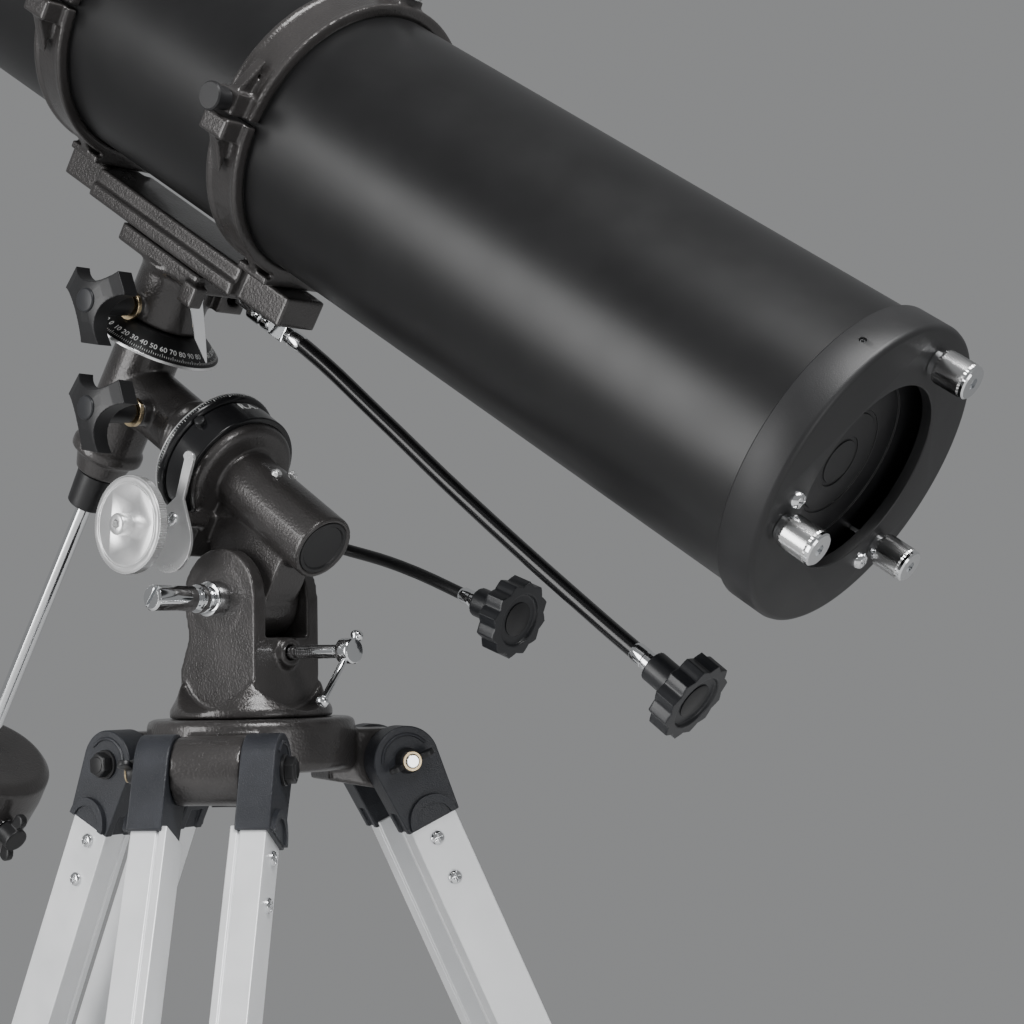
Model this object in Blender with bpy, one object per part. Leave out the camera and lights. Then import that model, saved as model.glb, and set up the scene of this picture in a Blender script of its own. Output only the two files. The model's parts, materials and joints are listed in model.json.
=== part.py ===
"""Newtonian reflector telescope on a German equatorial mount and a folding aluminium tripod.

The scene is in metres with +Z up. +Y is the direction that the polar axis points to over the ground.
All named sizes below are in millimetres and are scaled once, when a solid is placed.

Frames, each an empty that carries what turns about it:
  stand      the centre of the top face of the tripod head
  latitude   the pivot of the polar housing, with Y along the polar axis and Z square to it
  polar      the point where the declination axis crosses the polar axis, turned about the polar axis
  scope      the same point, turned about the declination axis, with Y along the tube
"""
import math

import bmesh
import bpy
from mathutils import Matrix, Vector

MM = 0.001
GAP = 0.3
RUNNING = 0.4
ROUND_STEPS = 32
SMALL_STEPS = 16
TINY_STEPS = 10

# --- tripod ---
HEAD_HEIGHT = 820.0
HEAD_RADIUS = 61.4
HEAD_THICKNESS = 31.0
LEG_TURNS = {"leg_1": 211.1, "leg_2": 331.1, "leg_3": 91.1}
SPLAY = 24.65
PIVOT_RADIUS = 83.5
PIVOT_DROP = 27.0
LUG_RADIUS = 19.0
LUG_WIDTH = 39.5
PIVOT_BOLT_RADIUS = 4.0
EAR_THICKNESS = 19.5
EAR_RADIUS = 20.5
EAR_DEPTH = 35.0
EAR_LENGTH = 40.0
RAIL_OFFSET = 27.4
RAIL_WIDTH = 20.0
RAIL_DEPTH = 30.8
RAIL_LENGTH = 560.0
CLAMP_LENGTH = 42.0
CLAMP_WALL = 5.0
LOWER_DEPTH = 15.0
LOWER_SHIFT = 6.5
LOWER_TOP = 395.0
FOOT_LENGTH = 48.0
LOCK_RADIUS = 3.0
BRACE_AT = 340.0
BRACE_INSET = 9.5
BRACE_TILT = 5.0
BRACE_WIDTH = 18.0
BRACE_THICKNESS = 4.0
BRACE_EYE = 5.5
HUB_ARM = 34.0
TRAY_RADIUS = 79.0
TRAY_RIM = 10.0
HEAD_BOLT_RADIUS = 5.0
HEAD_BOLT_RISE = 12.0

# --- azimuth base ---
BASE_HALF = 26.5
BASE_SOUTH = 30.0
BASE_RADIUS = 48.0
PIVOT_HEIGHT = 70.0
CHEEK_RADIUS = 30.0
SLOT_HALF = 17.0
SLOT_FLOOR = 25.0
SILL_HEIGHT = 47.0
SCREW_HEIGHT = 38.0
SCREW_RADIUS = 4.0
SCREW_REACH = 84.0
BAR_TURN = 51.7
LATITUDE_BOLT_RADIUS = 5.0

# --- polar housing and right ascension drive ---
LATITUDE = 34.41
POLAR_RISE = 57.0
POLAR_REACH = 164.1
KNUCKLE_RADIUS = 24.0
POLAR_RADIUS = 20.1
POLAR_END = 198.5
SHAFT_RADIUS = 10.0
CIRCLE_RADIUS = 42.2
CIRCLE_NORTH = 88.0
CIRCLE_THICKNESS = 18.0
DIAL_THICKNESS = 6.0
COVER_RADIUS = 36.0
WHEEL_RADIUS = 32.5
WHEEL_THICKNESS = 10.0
WORM_DROP = 39.7
WORM_RADIUS = 6.2
WORM_SHAFT_RADIUS = 3.4
WORM_WEST = 60.0
WORM_EAST = 44.0
THUMB_RADIUS = 29.0
THUMB_THICKNESS = 7.0
LEVER_X = 44.5
LEVER_THICKNESS = 2.2
LEVER_PIVOT = (-122.8, -27.8)
CABLE_RADIUS = 3.8

# --- declination housing and counterweight ---
REST_HOUR = -0.99
REST_DECLINATION = 3.51
DEC_RADIUS = 21.0
DEC_TOP = 33.0
DEC_BOTTOM = 64.0
LOCK_KNOB_RADIUS = 27.0
LOCK_KNOB_OUT = 48.0
LOCK_KNOB_THICKNESS = 11.0
LOCK_KNOB_SWEEP = 7.0
LOCK_KNOB_TURN = 52.6
RA_LOCK_Y = -40.0
DEC_LOCK_Z = 54.0
ROD_RADIUS = 5.0
ROD_END = 405.0
WEIGHT_TOP = 281.0
WEIGHT_LENGTH = 86.0
WEIGHT_RADIUS = 47.5
WEIGHT_SCREW_DROP = 312.0
DEC_CIRCLE_RADIUS = 42.7
DEC_CIRCLE_HEIGHT = 13.0

# --- saddle, declination drive and mounting plate ---
NECK_RADIUS = 24.0
PLATE_BOTTOM = 94.0
PLATE_TOP = 113.0
PLATE_HALF = 24.0
TONGUE_HALF = 16.0
DEC_WORM_X = 28.0
DEC_WORM_Z = 78.5
DEC_SLEEVE_RADIUS = 4.9
DRIVE_KNOB_RADIUS = 24.0
DRIVE_KNOB_THICKNESS = 13.0
DRIVE_HUB = 20.0

# --- optical tube ---
TUBE_RADIUS = 80.0
TUBE_WALL = 1.8
RING_FELT = 0.5
RING_BAND = 7.0
RING_WIDTH = 26.0
RING_NORTH = 92.0
RING_SOUTH = -76.0
FOOT_HEIGHT = 4.2
HINGE_OUT = 6.5
TUBE_FRONT = 392.0
TUBE_REAR = 468.0
CELL_LENGTH = 22.0
CELL_OVERHANG = 3.0
CELL_PLATE = 6.0
CELL_HOLE = 50.9
MIRROR_RADIUS = 65.0
MIRROR_THICKNESS = 12.0
COLLIMATION_CIRCLE = 65.0
COLLIMATION_ANGLES = (84.0, 204.0, 324.0)
COLLIMATION_RADIUS = 9.0
COLLIMATION_LENGTH = 22.0
FOCUS_Y = 292.0
FOCUS_TURN = -45.0
DRAW_RADIUS = 26.0
FINDER_TURN = -8.0

# --- derived sizes ---
RING_INNER = TUBE_RADIUS + RING_FELT
RING_OUTER = RING_INNER + RING_BAND
TUBE_OFFSET = PLATE_TOP + GAP + FOOT_HEIGHT + RING_OUTER
RAIL_INNER = RAIL_OFFSET - RAIL_WIDTH / 2
RAIL_OUTER = RAIL_OFFSET + RAIL_WIDTH / 2
EAR_INNER = LUG_WIDTH / 2 + GAP
EAR_OUTER = EAR_INNER + EAR_THICKNESS
LOWER_HALF = RAIL_INNER - RUNNING
WORM_Y = -(CIRCLE_NORTH + CIRCLE_THICKNESS + GAP + WHEEL_THICKNESS / 2)
FLOOR = Vector((0, 0, -HEAD_HEIGHT))


# --- shape helpers: each returns a bmesh in millimetres ---
def lathe(profile, steps=ROUND_STEPS, ring=False):
    """A closed solid turned about Z from (radius, height) points; ring joins the last point to the first."""
    mesh = bmesh.new()
    verts = [mesh.verts.new((radius, 0, height)) for radius, height in profile]
    edges = [mesh.edges.new(pair) for pair in zip(verts, verts[1:])]
    if ring:
        edges.append(mesh.edges.new((verts[-1], verts[0])))
    bmesh.ops.spin(
        mesh, geom=verts + edges, cent=(0, 0, 0), axis=(0, 0, 1), angle=math.tau, steps=steps, use_merge=True
    )
    bmesh.ops.remove_doubles(mesh, verts=mesh.verts, dist=1e-4)
    bmesh.ops.recalc_face_normals(mesh, faces=mesh.faces)
    return mesh


def rod(radius, low, high, steps=SMALL_STEPS):
    return lathe([(0, low), (radius, low), (radius, high), (0, high)], steps)


def prism(outline, low, high):
    """A closed solid with this XY outline between two heights."""
    mesh = bmesh.new()
    face = mesh.faces.new([mesh.verts.new((x, y, low)) for x, y in outline])
    grown = bmesh.ops.extrude_face_region(mesh, geom=[face])["geom"]
    raised = [item for item in grown if isinstance(item, bmesh.types.BMVert)]
    bmesh.ops.translate(mesh, verts=raised, vec=(0, 0, high - low))
    bmesh.ops.recalc_face_normals(mesh, faces=mesh.faces)
    return mesh


def block(low, high):
    """An axis-aligned box between two corners."""
    outline = [(low[0], low[1]), (high[0], low[1]), (high[0], high[1]), (low[0], high[1])]
    return prism(outline, low[2], high[2])


def arc(radius, start, end, steps, centre=(0, 0)):
    """Points on a circle from one angle to another, in degrees, both ends included."""
    points = []
    for step in range(steps + 1):
        angle = math.radians(start + (end - start) * step / steps)
        points.append((centre[0] + radius * math.cos(angle), centre[1] + radius * math.sin(angle)))
    return points


def moved(mesh, matrix):
    bmesh.ops.transform(mesh, matrix=matrix, verts=mesh.verts)
    if matrix.determinant() < 0:
        bmesh.ops.reverse_faces(mesh, faces=mesh.faces)
    return mesh


def shifted(mesh, x=0.0, y=0.0, z=0.0):
    return moved(mesh, Matrix.Translation((x, y, z)))


def along(mesh, axis, at=(0, 0, 0)):
    """The mesh with its Z turned to an axis, then moved to a place."""
    turn = {
        "x": Matrix(((0, 0, 1, 0), (1, 0, 0, 0), (0, 1, 0, 0), (0, 0, 0, 1))),
        "-x": Matrix(((0, 0, -1, 0), (-1, 0, 0, 0), (0, 1, 0, 0), (0, 0, 0, 1))),
        "y": Matrix(((0, 1, 0, 0), (0, 0, 1, 0), (1, 0, 0, 0), (0, 0, 0, 1))),
        "-y": Matrix(((1, 0, 0, 0), (0, 0, -1, 0), (0, 1, 0, 0), (0, 0, 0, 1))),
        "z": Matrix.Identity(4),
        "-z": Matrix(((1, 0, 0, 0), (0, -1, 0, 0), (0, 0, -1, 0), (0, 0, 0, 1))),
    }[axis]
    return moved(mesh, Matrix.Translation(at) @ turn)


def temporary(mesh):
    data = bpy.data.meshes.new("temporary")
    mesh.to_mesh(data)
    mesh.free()
    obj = bpy.data.objects.new("temporary", data)
    bpy.context.scene.collection.objects.link(obj)
    return obj


def combined(base, tool, operation):
    """The exact Boolean of two closed meshes; both are used up."""
    first = temporary(base)
    second = temporary(tool)
    modifier = first.modifiers.new("combine", "BOOLEAN")
    modifier.operation = operation
    modifier.solver = "EXACT"
    modifier.object = second
    bpy.context.view_layer.update()
    result = bmesh.new()
    result.from_object(first, bpy.context.evaluated_depsgraph_get())
    for obj in (first, second):
        data = obj.data
        bpy.data.objects.remove(obj)
        bpy.data.meshes.remove(data)
    bmesh.ops.remove_doubles(result, verts=result.verts, dist=1e-3)
    bmesh.ops.dissolve_limit(result, angle_limit=math.radians(0.2), verts=result.verts, edges=result.edges)
    return result


def fused(base, *tools):
    for tool in tools:
        base = combined(base, tool, "UNION")
    return base


def carved(base, *tools):
    for tool in tools:
        base = combined(base, tool, "DIFFERENCE")
    return base


# --- scene helpers ---
def make_material(name, colour, roughness, metallic):
    material = bpy.data.materials.new(name)
    material.use_nodes = True
    shader = material.node_tree.nodes["Principled BSDF"]
    shader.inputs["Base Color"].default_value = (*colour, 1)
    shader.inputs["Roughness"].default_value = roughness
    shader.inputs["Metallic"].default_value = metallic
    return material


FINISHES = {
    "hammertone": ((0.055, 0.050, 0.048), 0.35, 0.5),
    "satin_black": ((0.012, 0.012, 0.013), 0.4, 0.0),
    "cell_black": ((0.03, 0.03, 0.032), 0.5, 0.2),
    "black_plastic": ((0.025, 0.027, 0.032), 0.5, 0.0),
    "aluminium": ((0.78, 0.79, 0.80), 0.35, 1.0),
    "chrome": ((0.8, 0.8, 0.8), 0.12, 1.0),
    "glass": ((0.6, 0.65, 0.68), 0.05, 1.0),
    "silver": ((0.86, 0.86, 0.86), 0.3, 0.9),
}


def put(name, mesh, finish, parent, at=(0, 0, 0)):
    """Places one sub-part, scaled to metres, with its own material."""
    bmesh.ops.scale(mesh, vec=(MM, MM, MM), verts=mesh.verts)
    data = bpy.data.meshes.new(name)
    mesh.to_mesh(data)
    mesh.free()
    colour, roughness, metallic = FINISHES[finish]
    data.materials.append(make_material(name + "_" + finish, colour, roughness, metallic))
    obj = bpy.data.objects.new(name, data)
    bpy.context.scene.collection.objects.link(obj)
    obj.parent = parent
    obj.location = Vector(at) * MM
    data.shade_smooth()
    data.set_sharp_from_angle(angle=math.radians(30))
    return obj


def frame(name, parent, at=(0, 0, 0), turn=(0, 0, 0)):
    """An empty with a place in millimetres and an XYZ turn in degrees."""
    empty = bpy.data.objects.new(name, None)
    bpy.context.scene.collection.objects.link(empty)
    empty.parent = parent
    empty.location = Vector(at) * MM
    empty.rotation_euler = [math.radians(angle) for angle in turn]
    return empty


def lobed_knob(radius, thickness, neck, neck_radius, sweep=0.0):
    """A three-lobed hand knob whose stem starts at 0; its lobes bend back to the stem by the sweep."""
    star = lathe(
        [
            (0, neck), (radius * 0.93, neck), (radius, neck + thickness * 0.25), (radius, neck + thickness * 0.75),
            (radius * 0.93, neck + thickness), (0, neck + thickness),
        ],
        36,
    )
    for vertex in star.verts:
        angle = math.atan2(vertex.co.y, vertex.co.x)
        lobe = max(0.62 + 0.38 * math.cos(3 * angle), 0.45)
        vertex.co.x *= lobe
        vertex.co.y *= lobe
        vertex.co.z -= sweep * (vertex.co.x**2 + vertex.co.y**2) / radius**2
    stem = lathe(
        [
            (0, 0), (neck_radius * 0.6, 0), (neck_radius * 0.6, 4), (neck_radius * 0.8, 4), (neck_radius, neck),
            (neck_radius, neck + thickness / 2), (0, neck + thickness / 2),
        ],
        SMALL_STEPS,
    )
    return fused(star, stem)


def scalloped_knob(radius, thickness, scallops=12):
    """A drive knob with a fluted rim, its hub starting at 0 and its face at the far end."""
    outline = []
    steps = scallops * 4
    for step in range(steps):
        angle = math.tau * step / steps
        reach = radius - 1.4 + 1.4 * math.cos(scallops * angle)
        outline.append((reach * math.cos(angle), reach * math.sin(angle)))
    hub_length = DRIVE_HUB
    wheel = prism(outline, hub_length, hub_length + thickness)
    hub = lathe([(0, 0), (9, 0), (9, hub_length + 1), (0, hub_length + 1)], SMALL_STEPS)
    return fused(wheel, hub)


def tube_along(points, radius, steps=12):
    """A closed round bar swept along a smooth path through a few points."""
    data = bpy.data.curves.new("path", "CURVE")
    data.dimensions = "3D"
    data.bevel_depth = radius
    data.bevel_resolution = steps // 4
    data.resolution_u = 5
    data.use_fill_caps = True
    spline = data.splines.new("BEZIER")
    spline.bezier_points.add(len(points) - 1)
    for bezier, point in zip(spline.bezier_points, points):
        bezier.co = point
        bezier.handle_left_type = "AUTO"
        bezier.handle_right_type = "AUTO"
    path = bpy.data.objects.new("path", data)
    bpy.context.scene.collection.objects.link(path)
    bpy.context.view_layer.update()
    swept = path.evaluated_get(bpy.context.evaluated_depsgraph_get()).to_mesh()
    mesh = bmesh.new()
    mesh.from_mesh(swept)
    bpy.data.objects.remove(path)
    bpy.data.curves.remove(data)
    bmesh.ops.remove_doubles(mesh, verts=mesh.verts, dist=1e-3)
    bmesh.ops.recalc_face_normals(mesh, faces=mesh.faces)
    return mesh


# --- tripod ---
def tripod_head(stand):
    head = lathe(
        [
            (0, -HEAD_THICKNESS),
            (HEAD_RADIUS - 1.5, -HEAD_THICKNESS),
            (HEAD_RADIUS, -HEAD_THICKNESS + 1.5),
            (HEAD_RADIUS, -1.5),
            (HEAD_RADIUS - 1.5, 0),
            (0, 0),
        ]
    )
    half = LUG_WIDTH / 2
    for turn in LEG_TURNS.values():
        outline = [(-PIVOT_RADIUS * 0.5, LUG_RADIUS), (-PIVOT_RADIUS * 0.5, -LUG_RADIUS + PIVOT_DROP * 0.3)]
        outline += arc(LUG_RADIUS, -90, 90, 10)
        lug = along(prism(outline, -half, half), "x")
        lug = moved(lug, Matrix.Translation((0, PIVOT_RADIUS, -PIVOT_DROP)))
        lug = moved(lug, Matrix.Rotation(math.radians(turn - 90), 4, "Z"))
        hole = along(rod(PIVOT_BOLT_RADIUS + GAP, -half - 1, half + 1, TINY_STEPS), "x", (0, PIVOT_RADIUS, -PIVOT_DROP))
        hole = moved(hole, Matrix.Rotation(math.radians(turn - 90), 4, "Z"))
        head = carved(fused(head, lug), hole)
    head = carved(head, rod(HEAD_BOLT_RADIUS + GAP, -HEAD_THICKNESS - 1, 1))
    put("tripod_head", head, "hammertone", stand)


def head_bolt(stand):
    under = -HEAD_THICKNESS - GAP
    bolt = rod(HEAD_BOLT_RADIUS, under - 10, HEAD_BOLT_RISE)
    knob = shifted(along(lobed_knob(24, 13, 8, 10), "-z"), z=under)
    put("head_bolt", fused(bolt, knob), "black_plastic", stand)


def pivot_bolt(name, leg):
    """The bolt through one leg's ears, with a hexagon head on one side and a wing nut on the other."""
    face = EAR_OUTER + GAP
    shank = rod(PIVOT_BOLT_RADIUS, -face - 2, face + 10, TINY_STEPS)
    washer = rod(8.5, -face - 1.6, -face)
    head = shifted(lathe([(0, 0), (7.5, 0), (7.5, 6), (0, 6)], 6), z=-face - 7.5)
    nut = rod(7.5, face, face + 8)
    wings = block((-15, -3, face + 3), (15, 3, face + 12))
    bolt = fused(shank, washer, head, nut, wings)
    put(name + "_pivot_bolt", along(bolt, "x"), "black_plastic", leg)


def leg_upper(name, leg):
    """Two rails with their top ears, joined by the clamp that guides the lower leg."""
    ear_outline = arc(EAR_RADIUS, 0, 180, 12) + [(-EAR_DEPTH / 2, -EAR_LENGTH), (EAR_DEPTH / 2, -EAR_LENGTH)]
    hole_depth = EAR_OUTER + 1
    clamp_top = -RAIL_LENGTH
    clamp_low = clamp_top - CLAMP_LENGTH
    clamp_half = RAIL_OUTER + CLAMP_WALL
    depth_half = RAIL_DEPTH / 2 + CLAMP_WALL - 2
    upper = block((-clamp_half, -depth_half, clamp_low), (clamp_half, depth_half, clamp_top))
    for side in (-1, 1):
        near, far = sorted((side * RAIL_INNER, side * RAIL_OUTER))
        rail = block((near, -RAIL_DEPTH / 2, clamp_top - 2), (far, RAIL_DEPTH / 2, -EAR_LENGTH + 3))
        low, high = sorted((side * EAR_INNER, side * EAR_OUTER))
        ear = along(prism(ear_outline, low, high), "x")
        upper = fused(upper, rail, ear)
    passage = block(
        (-LOWER_HALF - GAP, LOWER_SHIFT - LOWER_DEPTH / 2 - GAP, clamp_low - 1),
        (LOWER_HALF + GAP, LOWER_SHIFT + LOWER_DEPTH / 2 + GAP, clamp_top + 1),
    )
    pivot = along(rod(PIVOT_BOLT_RADIUS + GAP, -hole_depth, hole_depth, TINY_STEPS), "x")
    lock_hole = along(
        rod(LOCK_RADIUS + GAP, LOWER_SHIFT, depth_half + 1, TINY_STEPS), "y", (0, 0, clamp_top - CLAMP_LENGTH / 2)
    )
    put(name + "_upper", carved(upper, passage, pivot, lock_hole), "aluminium", leg)


def leg_lower(name, leg):
    """The sliding leg and its foot, whose sole is level on the floor while the legs are spread."""
    splay = math.radians(SPLAY)
    low = LOWER_SHIFT - LOWER_DEPTH / 2
    high = LOWER_SHIFT + LOWER_DEPTH / 2

    def sole(y):
        return -(HEAD_HEIGHT - PIVOT_DROP + y * math.sin(splay)) / math.cos(splay)

    foot_top = sole(0) + FOOT_LENGTH
    bar = block((-LOWER_HALF, low, foot_top - 4), (LOWER_HALF, high, -LOWER_TOP))
    outline = [
        (low - 2, foot_top),
        (low - 5, sole(low - 5)),
        (high + 8, sole(high + 8)),
        (high + 2, foot_top),
    ]
    foot = along(prism(outline, -LOWER_HALF - 1.5, LOWER_HALF + 1.5), "x")
    put(name + "_lower", fused(foot, bar), "aluminium", leg)


def leg_lock(name, leg):
    start = LOWER_SHIFT + LOWER_DEPTH / 2 + GAP
    face = RAIL_DEPTH / 2 + CLAMP_WALL - 2 + GAP
    shank = rod(LOCK_RADIUS, start, face + 8, TINY_STEPS)
    hub = lathe([(0, face), (7, face), (9, face + 8), (9, face + 18), (0, face + 18)], SMALL_STEPS)
    wings = block((-17, -4, face + 6), (17, 4, face + 16))
    screw = along(fused(shank, hub, wings), "y")
    put(name + "_lock_screw", screw, "black_plastic", leg, (0, 0, -RAIL_LENGTH - CLAMP_LENGTH / 2))


def brace_geometry():
    """Height of the hub's pivots below the head and the arm length between its two pivots."""
    splay = math.radians(SPLAY)
    reach = PIVOT_RADIUS + BRACE_AT * math.sin(splay) - BRACE_INSET * math.cos(splay)
    drop = PIVOT_DROP + BRACE_AT * math.cos(splay) + BRACE_INSET * math.sin(splay)
    length = (reach - HUB_ARM) / math.cos(math.radians(BRACE_TILT))
    return drop - length * math.sin(math.radians(BRACE_TILT)), length


def tray(stand):
    drop, _length = brace_geometry()
    hub_radius = HUB_ARM - BRACE_EYE - 2
    dish = lathe(
        [
            (0, BRACE_EYE + 2),
            (hub_radius + 8, BRACE_EYE + 2),
            (TRAY_RADIUS - 2, BRACE_EYE + 2),
            (TRAY_RADIUS, BRACE_EYE + 4),
            (TRAY_RADIUS, BRACE_EYE + 2 + TRAY_RIM),
            (TRAY_RADIUS - 2.5, BRACE_EYE + 2 + TRAY_RIM),
            (TRAY_RADIUS - 2.5, BRACE_EYE + 5),
            (0, BRACE_EYE + 5),
        ]
    )
    body = fused(dish, lathe([(0, -BRACE_EYE - 3), (hub_radius, -BRACE_EYE - 3), (hub_radius, BRACE_EYE + 3), (0, BRACE_EYE + 3)], SMALL_STEPS))
    half = BRACE_WIDTH / 2 + RUNNING
    for turn in LEG_TURNS.values():
        spin = Matrix.Rotation(math.radians(turn - 90), 4, "Z")
        for side in (-1, 1):
            near, far = sorted((side * half, side * (half + 3)))
            cheek = block((near, hub_radius - 4, -BRACE_EYE - 1), (far, HUB_ARM + BRACE_EYE, BRACE_EYE + 3))
            body = fused(body, moved(cheek, spin))
        pin = along(rod(2, -half - 1, half + 1, TINY_STEPS), "x", (0, HUB_ARM, 0))
        body = fused(body, moved(pin, spin))
    put("tray", body, "black_plastic", stand, (0, 0, -drop))


def brace(name, arm):
    """One spreader arm, hinged on the tray hub; its outer eye lies between the two rails."""
    _drop, length = brace_geometry()
    half = BRACE_WIDTH / 2
    strip = block((-half, 0, -BRACE_THICKNESS / 2), (half, length, BRACE_THICKNESS / 2))
    inner = along(rod(BRACE_EYE, -half, half), "x")
    outer = along(rod(BRACE_EYE, -half, half), "x", (0, length, 0))
    hole = along(rod(2 + GAP, -half - 1, half + 1, TINY_STEPS), "x")
    put(name + "_brace", carved(fused(strip, inner, outer), hole), "black_plastic", arm)


def tripod(stand):
    tripod_head(stand)
    head_bolt(stand)
    tray(stand)
    drop, _length = brace_geometry()
    for name, turn in LEG_TURNS.items():
        radial = Matrix.Rotation(math.radians(turn - 90), 4, "Z") @ Vector((0, 1, 0))
        leg = frame(name, stand, radial * PIVOT_RADIUS - Vector((0, 0, PIVOT_DROP)), (SPLAY, 0, turn - 90))
        pivot_bolt(name, leg)
        leg_upper(name, leg)
        leg_lower(name, leg)
        leg_lock(name, leg)
        arm = frame(name + "_arm", stand, radial * HUB_ARM - Vector((0, 0, drop)), (-BRACE_TILT, 0, turn - 90))
        brace(name, arm)


# --- mount ---
def azimuth_base(stand):
    """The forked casting: a flat-sided column that flares into a round foot, slotted for the polar housing."""
    outline = [(-BASE_SOUTH, 5), (-BASE_SOUTH, PIVOT_HEIGHT)]
    outline += arc(CHEEK_RADIUS, 180, 0, 16, (0, PIVOT_HEIGHT))[1:]
    outline += [(26, 52), (26, 46), (30, 36), (33, 28), (33, 5)]
    column = along(prism(outline, -BASE_HALF, BASE_HALF), "x")
    cone = lathe([(0, GAP), (BASE_RADIUS, GAP), (BASE_RADIUS, 5), (44, 12), (41, 21), (0, 21)])
    base = fused(column, cone)
    for axis, face in (("x", BASE_HALF), ("-x", BASE_HALF), ("-y", BASE_SOUTH)):
        base = carved(base, along(rod(32, face, face + 40, ROUND_STEPS), axis, (0, 0, 36)))
    base = fused(base, along(lathe([(0, BASE_SOUTH - 6), (11, BASE_SOUTH - 2), (8, BASE_SOUTH + 4), (0, BASE_SOUTH + 4)]), "-y", (0, 0, SCREW_HEIGHT)))
    cavity = block((-SLOT_HALF, -20, SLOT_FLOOR), (SLOT_HALF, 60, 120))
    window = block((-SLOT_HALF, -60, SILL_HEIGHT), (SLOT_HALF, -10, 120))
    pivot = along(rod(LATITUDE_BOLT_RADIUS + GAP, -60, 60), "x", (0, 0, PIVOT_HEIGHT))
    screw = along(rod(SCREW_RADIUS + GAP, 10, 60), "-y", (0, 0, SCREW_HEIGHT))
    socket = rod(HEAD_BOLT_RADIUS + GAP, -5, HEAD_BOLT_RISE + 1)
    put("azimuth_base", carved(base, cavity, window, pivot, screw, socket), "hammertone", stand)


def latitude_hardware(stand):
    face = BASE_HALF + GAP
    bolt = lathe(
        [
            (0, -78), (6.5, -78), (7.5, -77), (7.5, -48), (6, -46.5), (6, -44), (8.5, -43.5), (8.5, -38.5),
            (7, -38), (7, -36), (10.5, -35), (10.5, -face), (LATITUDE_BOLT_RADIUS, -face),
            (LATITUDE_BOLT_RADIUS, face), (7, face), (7, face + 4), (5, face + 7), (0, face + 7),
        ],
        SMALL_STEPS,
    )
    put("latitude_bolt", along(bolt, "x"), "chrome", stand, (0, 0, PIVOT_HEIGHT))
    tip = 14.0
    screw = lathe(
        [
            (0, tip), (3, tip), (SCREW_RADIUS, tip + 1), (SCREW_RADIUS, 72), (5, 72.5), (5, 74.5),
            (7.5, 75), (7.5, SCREW_REACH), (0, SCREW_REACH),
        ],
        SMALL_STEPS,
    )
    bar_hole = along(rod(2 + GAP, -10, 10, TINY_STEPS), "x", (0, 0, 79.5))
    turned = frame("latitude_screw_frame", stand, (0, 0, SCREW_HEIGHT), (0, -BAR_TURN, 0))
    put("latitude_screw", along(carved(screw, bar_hole), "-y"), "chrome", turned)
    bar = lathe([(0, -14), (3, -13), (4, -11.2), (3, -9.2), (2, -8.4), (2, 33), (3, 34), (4, 36), (3, 38), (0, 39)], TINY_STEPS)
    put("latitude_bar", along(bar, "-x"), "chrome", turned, (0, -79.5, 0))


def from_pivot(north, up):
    """Polar-frame (y, z) of a point given level and upright from the latitude pivot."""
    cosine = math.cos(math.radians(LATITUDE))
    sine = math.sin(math.radians(LATITUDE))
    return -POLAR_REACH + north * cosine + up * sine, -POLAR_RISE - north * sine + up * cosine


def polar_housing(polar):
    knuckle_x = SLOT_HALF - GAP
    south = WORM_Y - WHEEL_THICKNESS / 2 - GAP
    dial = -CIRCLE_NORTH - DIAL_THICKNESS - GAP
    body = along(
        lathe(
            [
                (0, -POLAR_END), (POLAR_RADIUS - 1, -POLAR_END), (POLAR_RADIUS, -POLAR_END + 1),
                (POLAR_RADIUS, south - 4), (COVER_RADIUS - 4, south - 4), (COVER_RADIUS - 1, south - 2.5),
                (COVER_RADIUS, south + 1), (COVER_RADIUS, dial), (0, dial),
            ]
        ),
        "y",
    )
    knuckle = along(rod(KNUCKLE_RADIUS, -knuckle_x, knuckle_x, 28), "x", (0, -POLAR_REACH, -POLAR_RISE))
    web_outline = [(-184, -2), (-186, -52), (-160, -60), (-143, -60), (-118, -30), (-118, -2)]
    web = along(prism(web_outline, -13, 13), "x")
    nose_outline = [from_pivot(-8, -18), from_pivot(-8, -32), from_pivot(3, -32), from_pivot(6, -18)]
    nose = along(prism(nose_outline, -9, 9), "x")
    worm_box = block((-24, WORM_Y - 13, -WORM_DROP - 13), (24, WORM_Y + 10, -24))
    boss_y, boss_z = LEVER_PIVOT
    boss = along(rod(5, -LEVER_X + LEVER_THICKNESS / 2 + GAP, -20, SMALL_STEPS), "x", (0, boss_y, boss_z))
    body = fused(body, knuckle, web, nose, worm_box, boss)
    wheel_room = along(
        rod(WHEEL_RADIUS + 0.6, south, WORM_Y + 30, 48), "y"
    )
    bore = along(rod(SHAFT_RADIUS + RUNNING, -POLAR_END + 8, 0), "y")
    worm_bore = along(rod(WORM_RADIUS + RUNNING, -60, 60), "x", (0, WORM_Y, -WORM_DROP))
    pivot = along(rod(LATITUDE_BOLT_RADIUS + GAP, -60, 60), "x", (0, -POLAR_REACH, -POLAR_RISE))
    put("polar_housing", carved(body, wheel_room, bore, worm_bore, pivot), "hammertone", polar)


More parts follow.
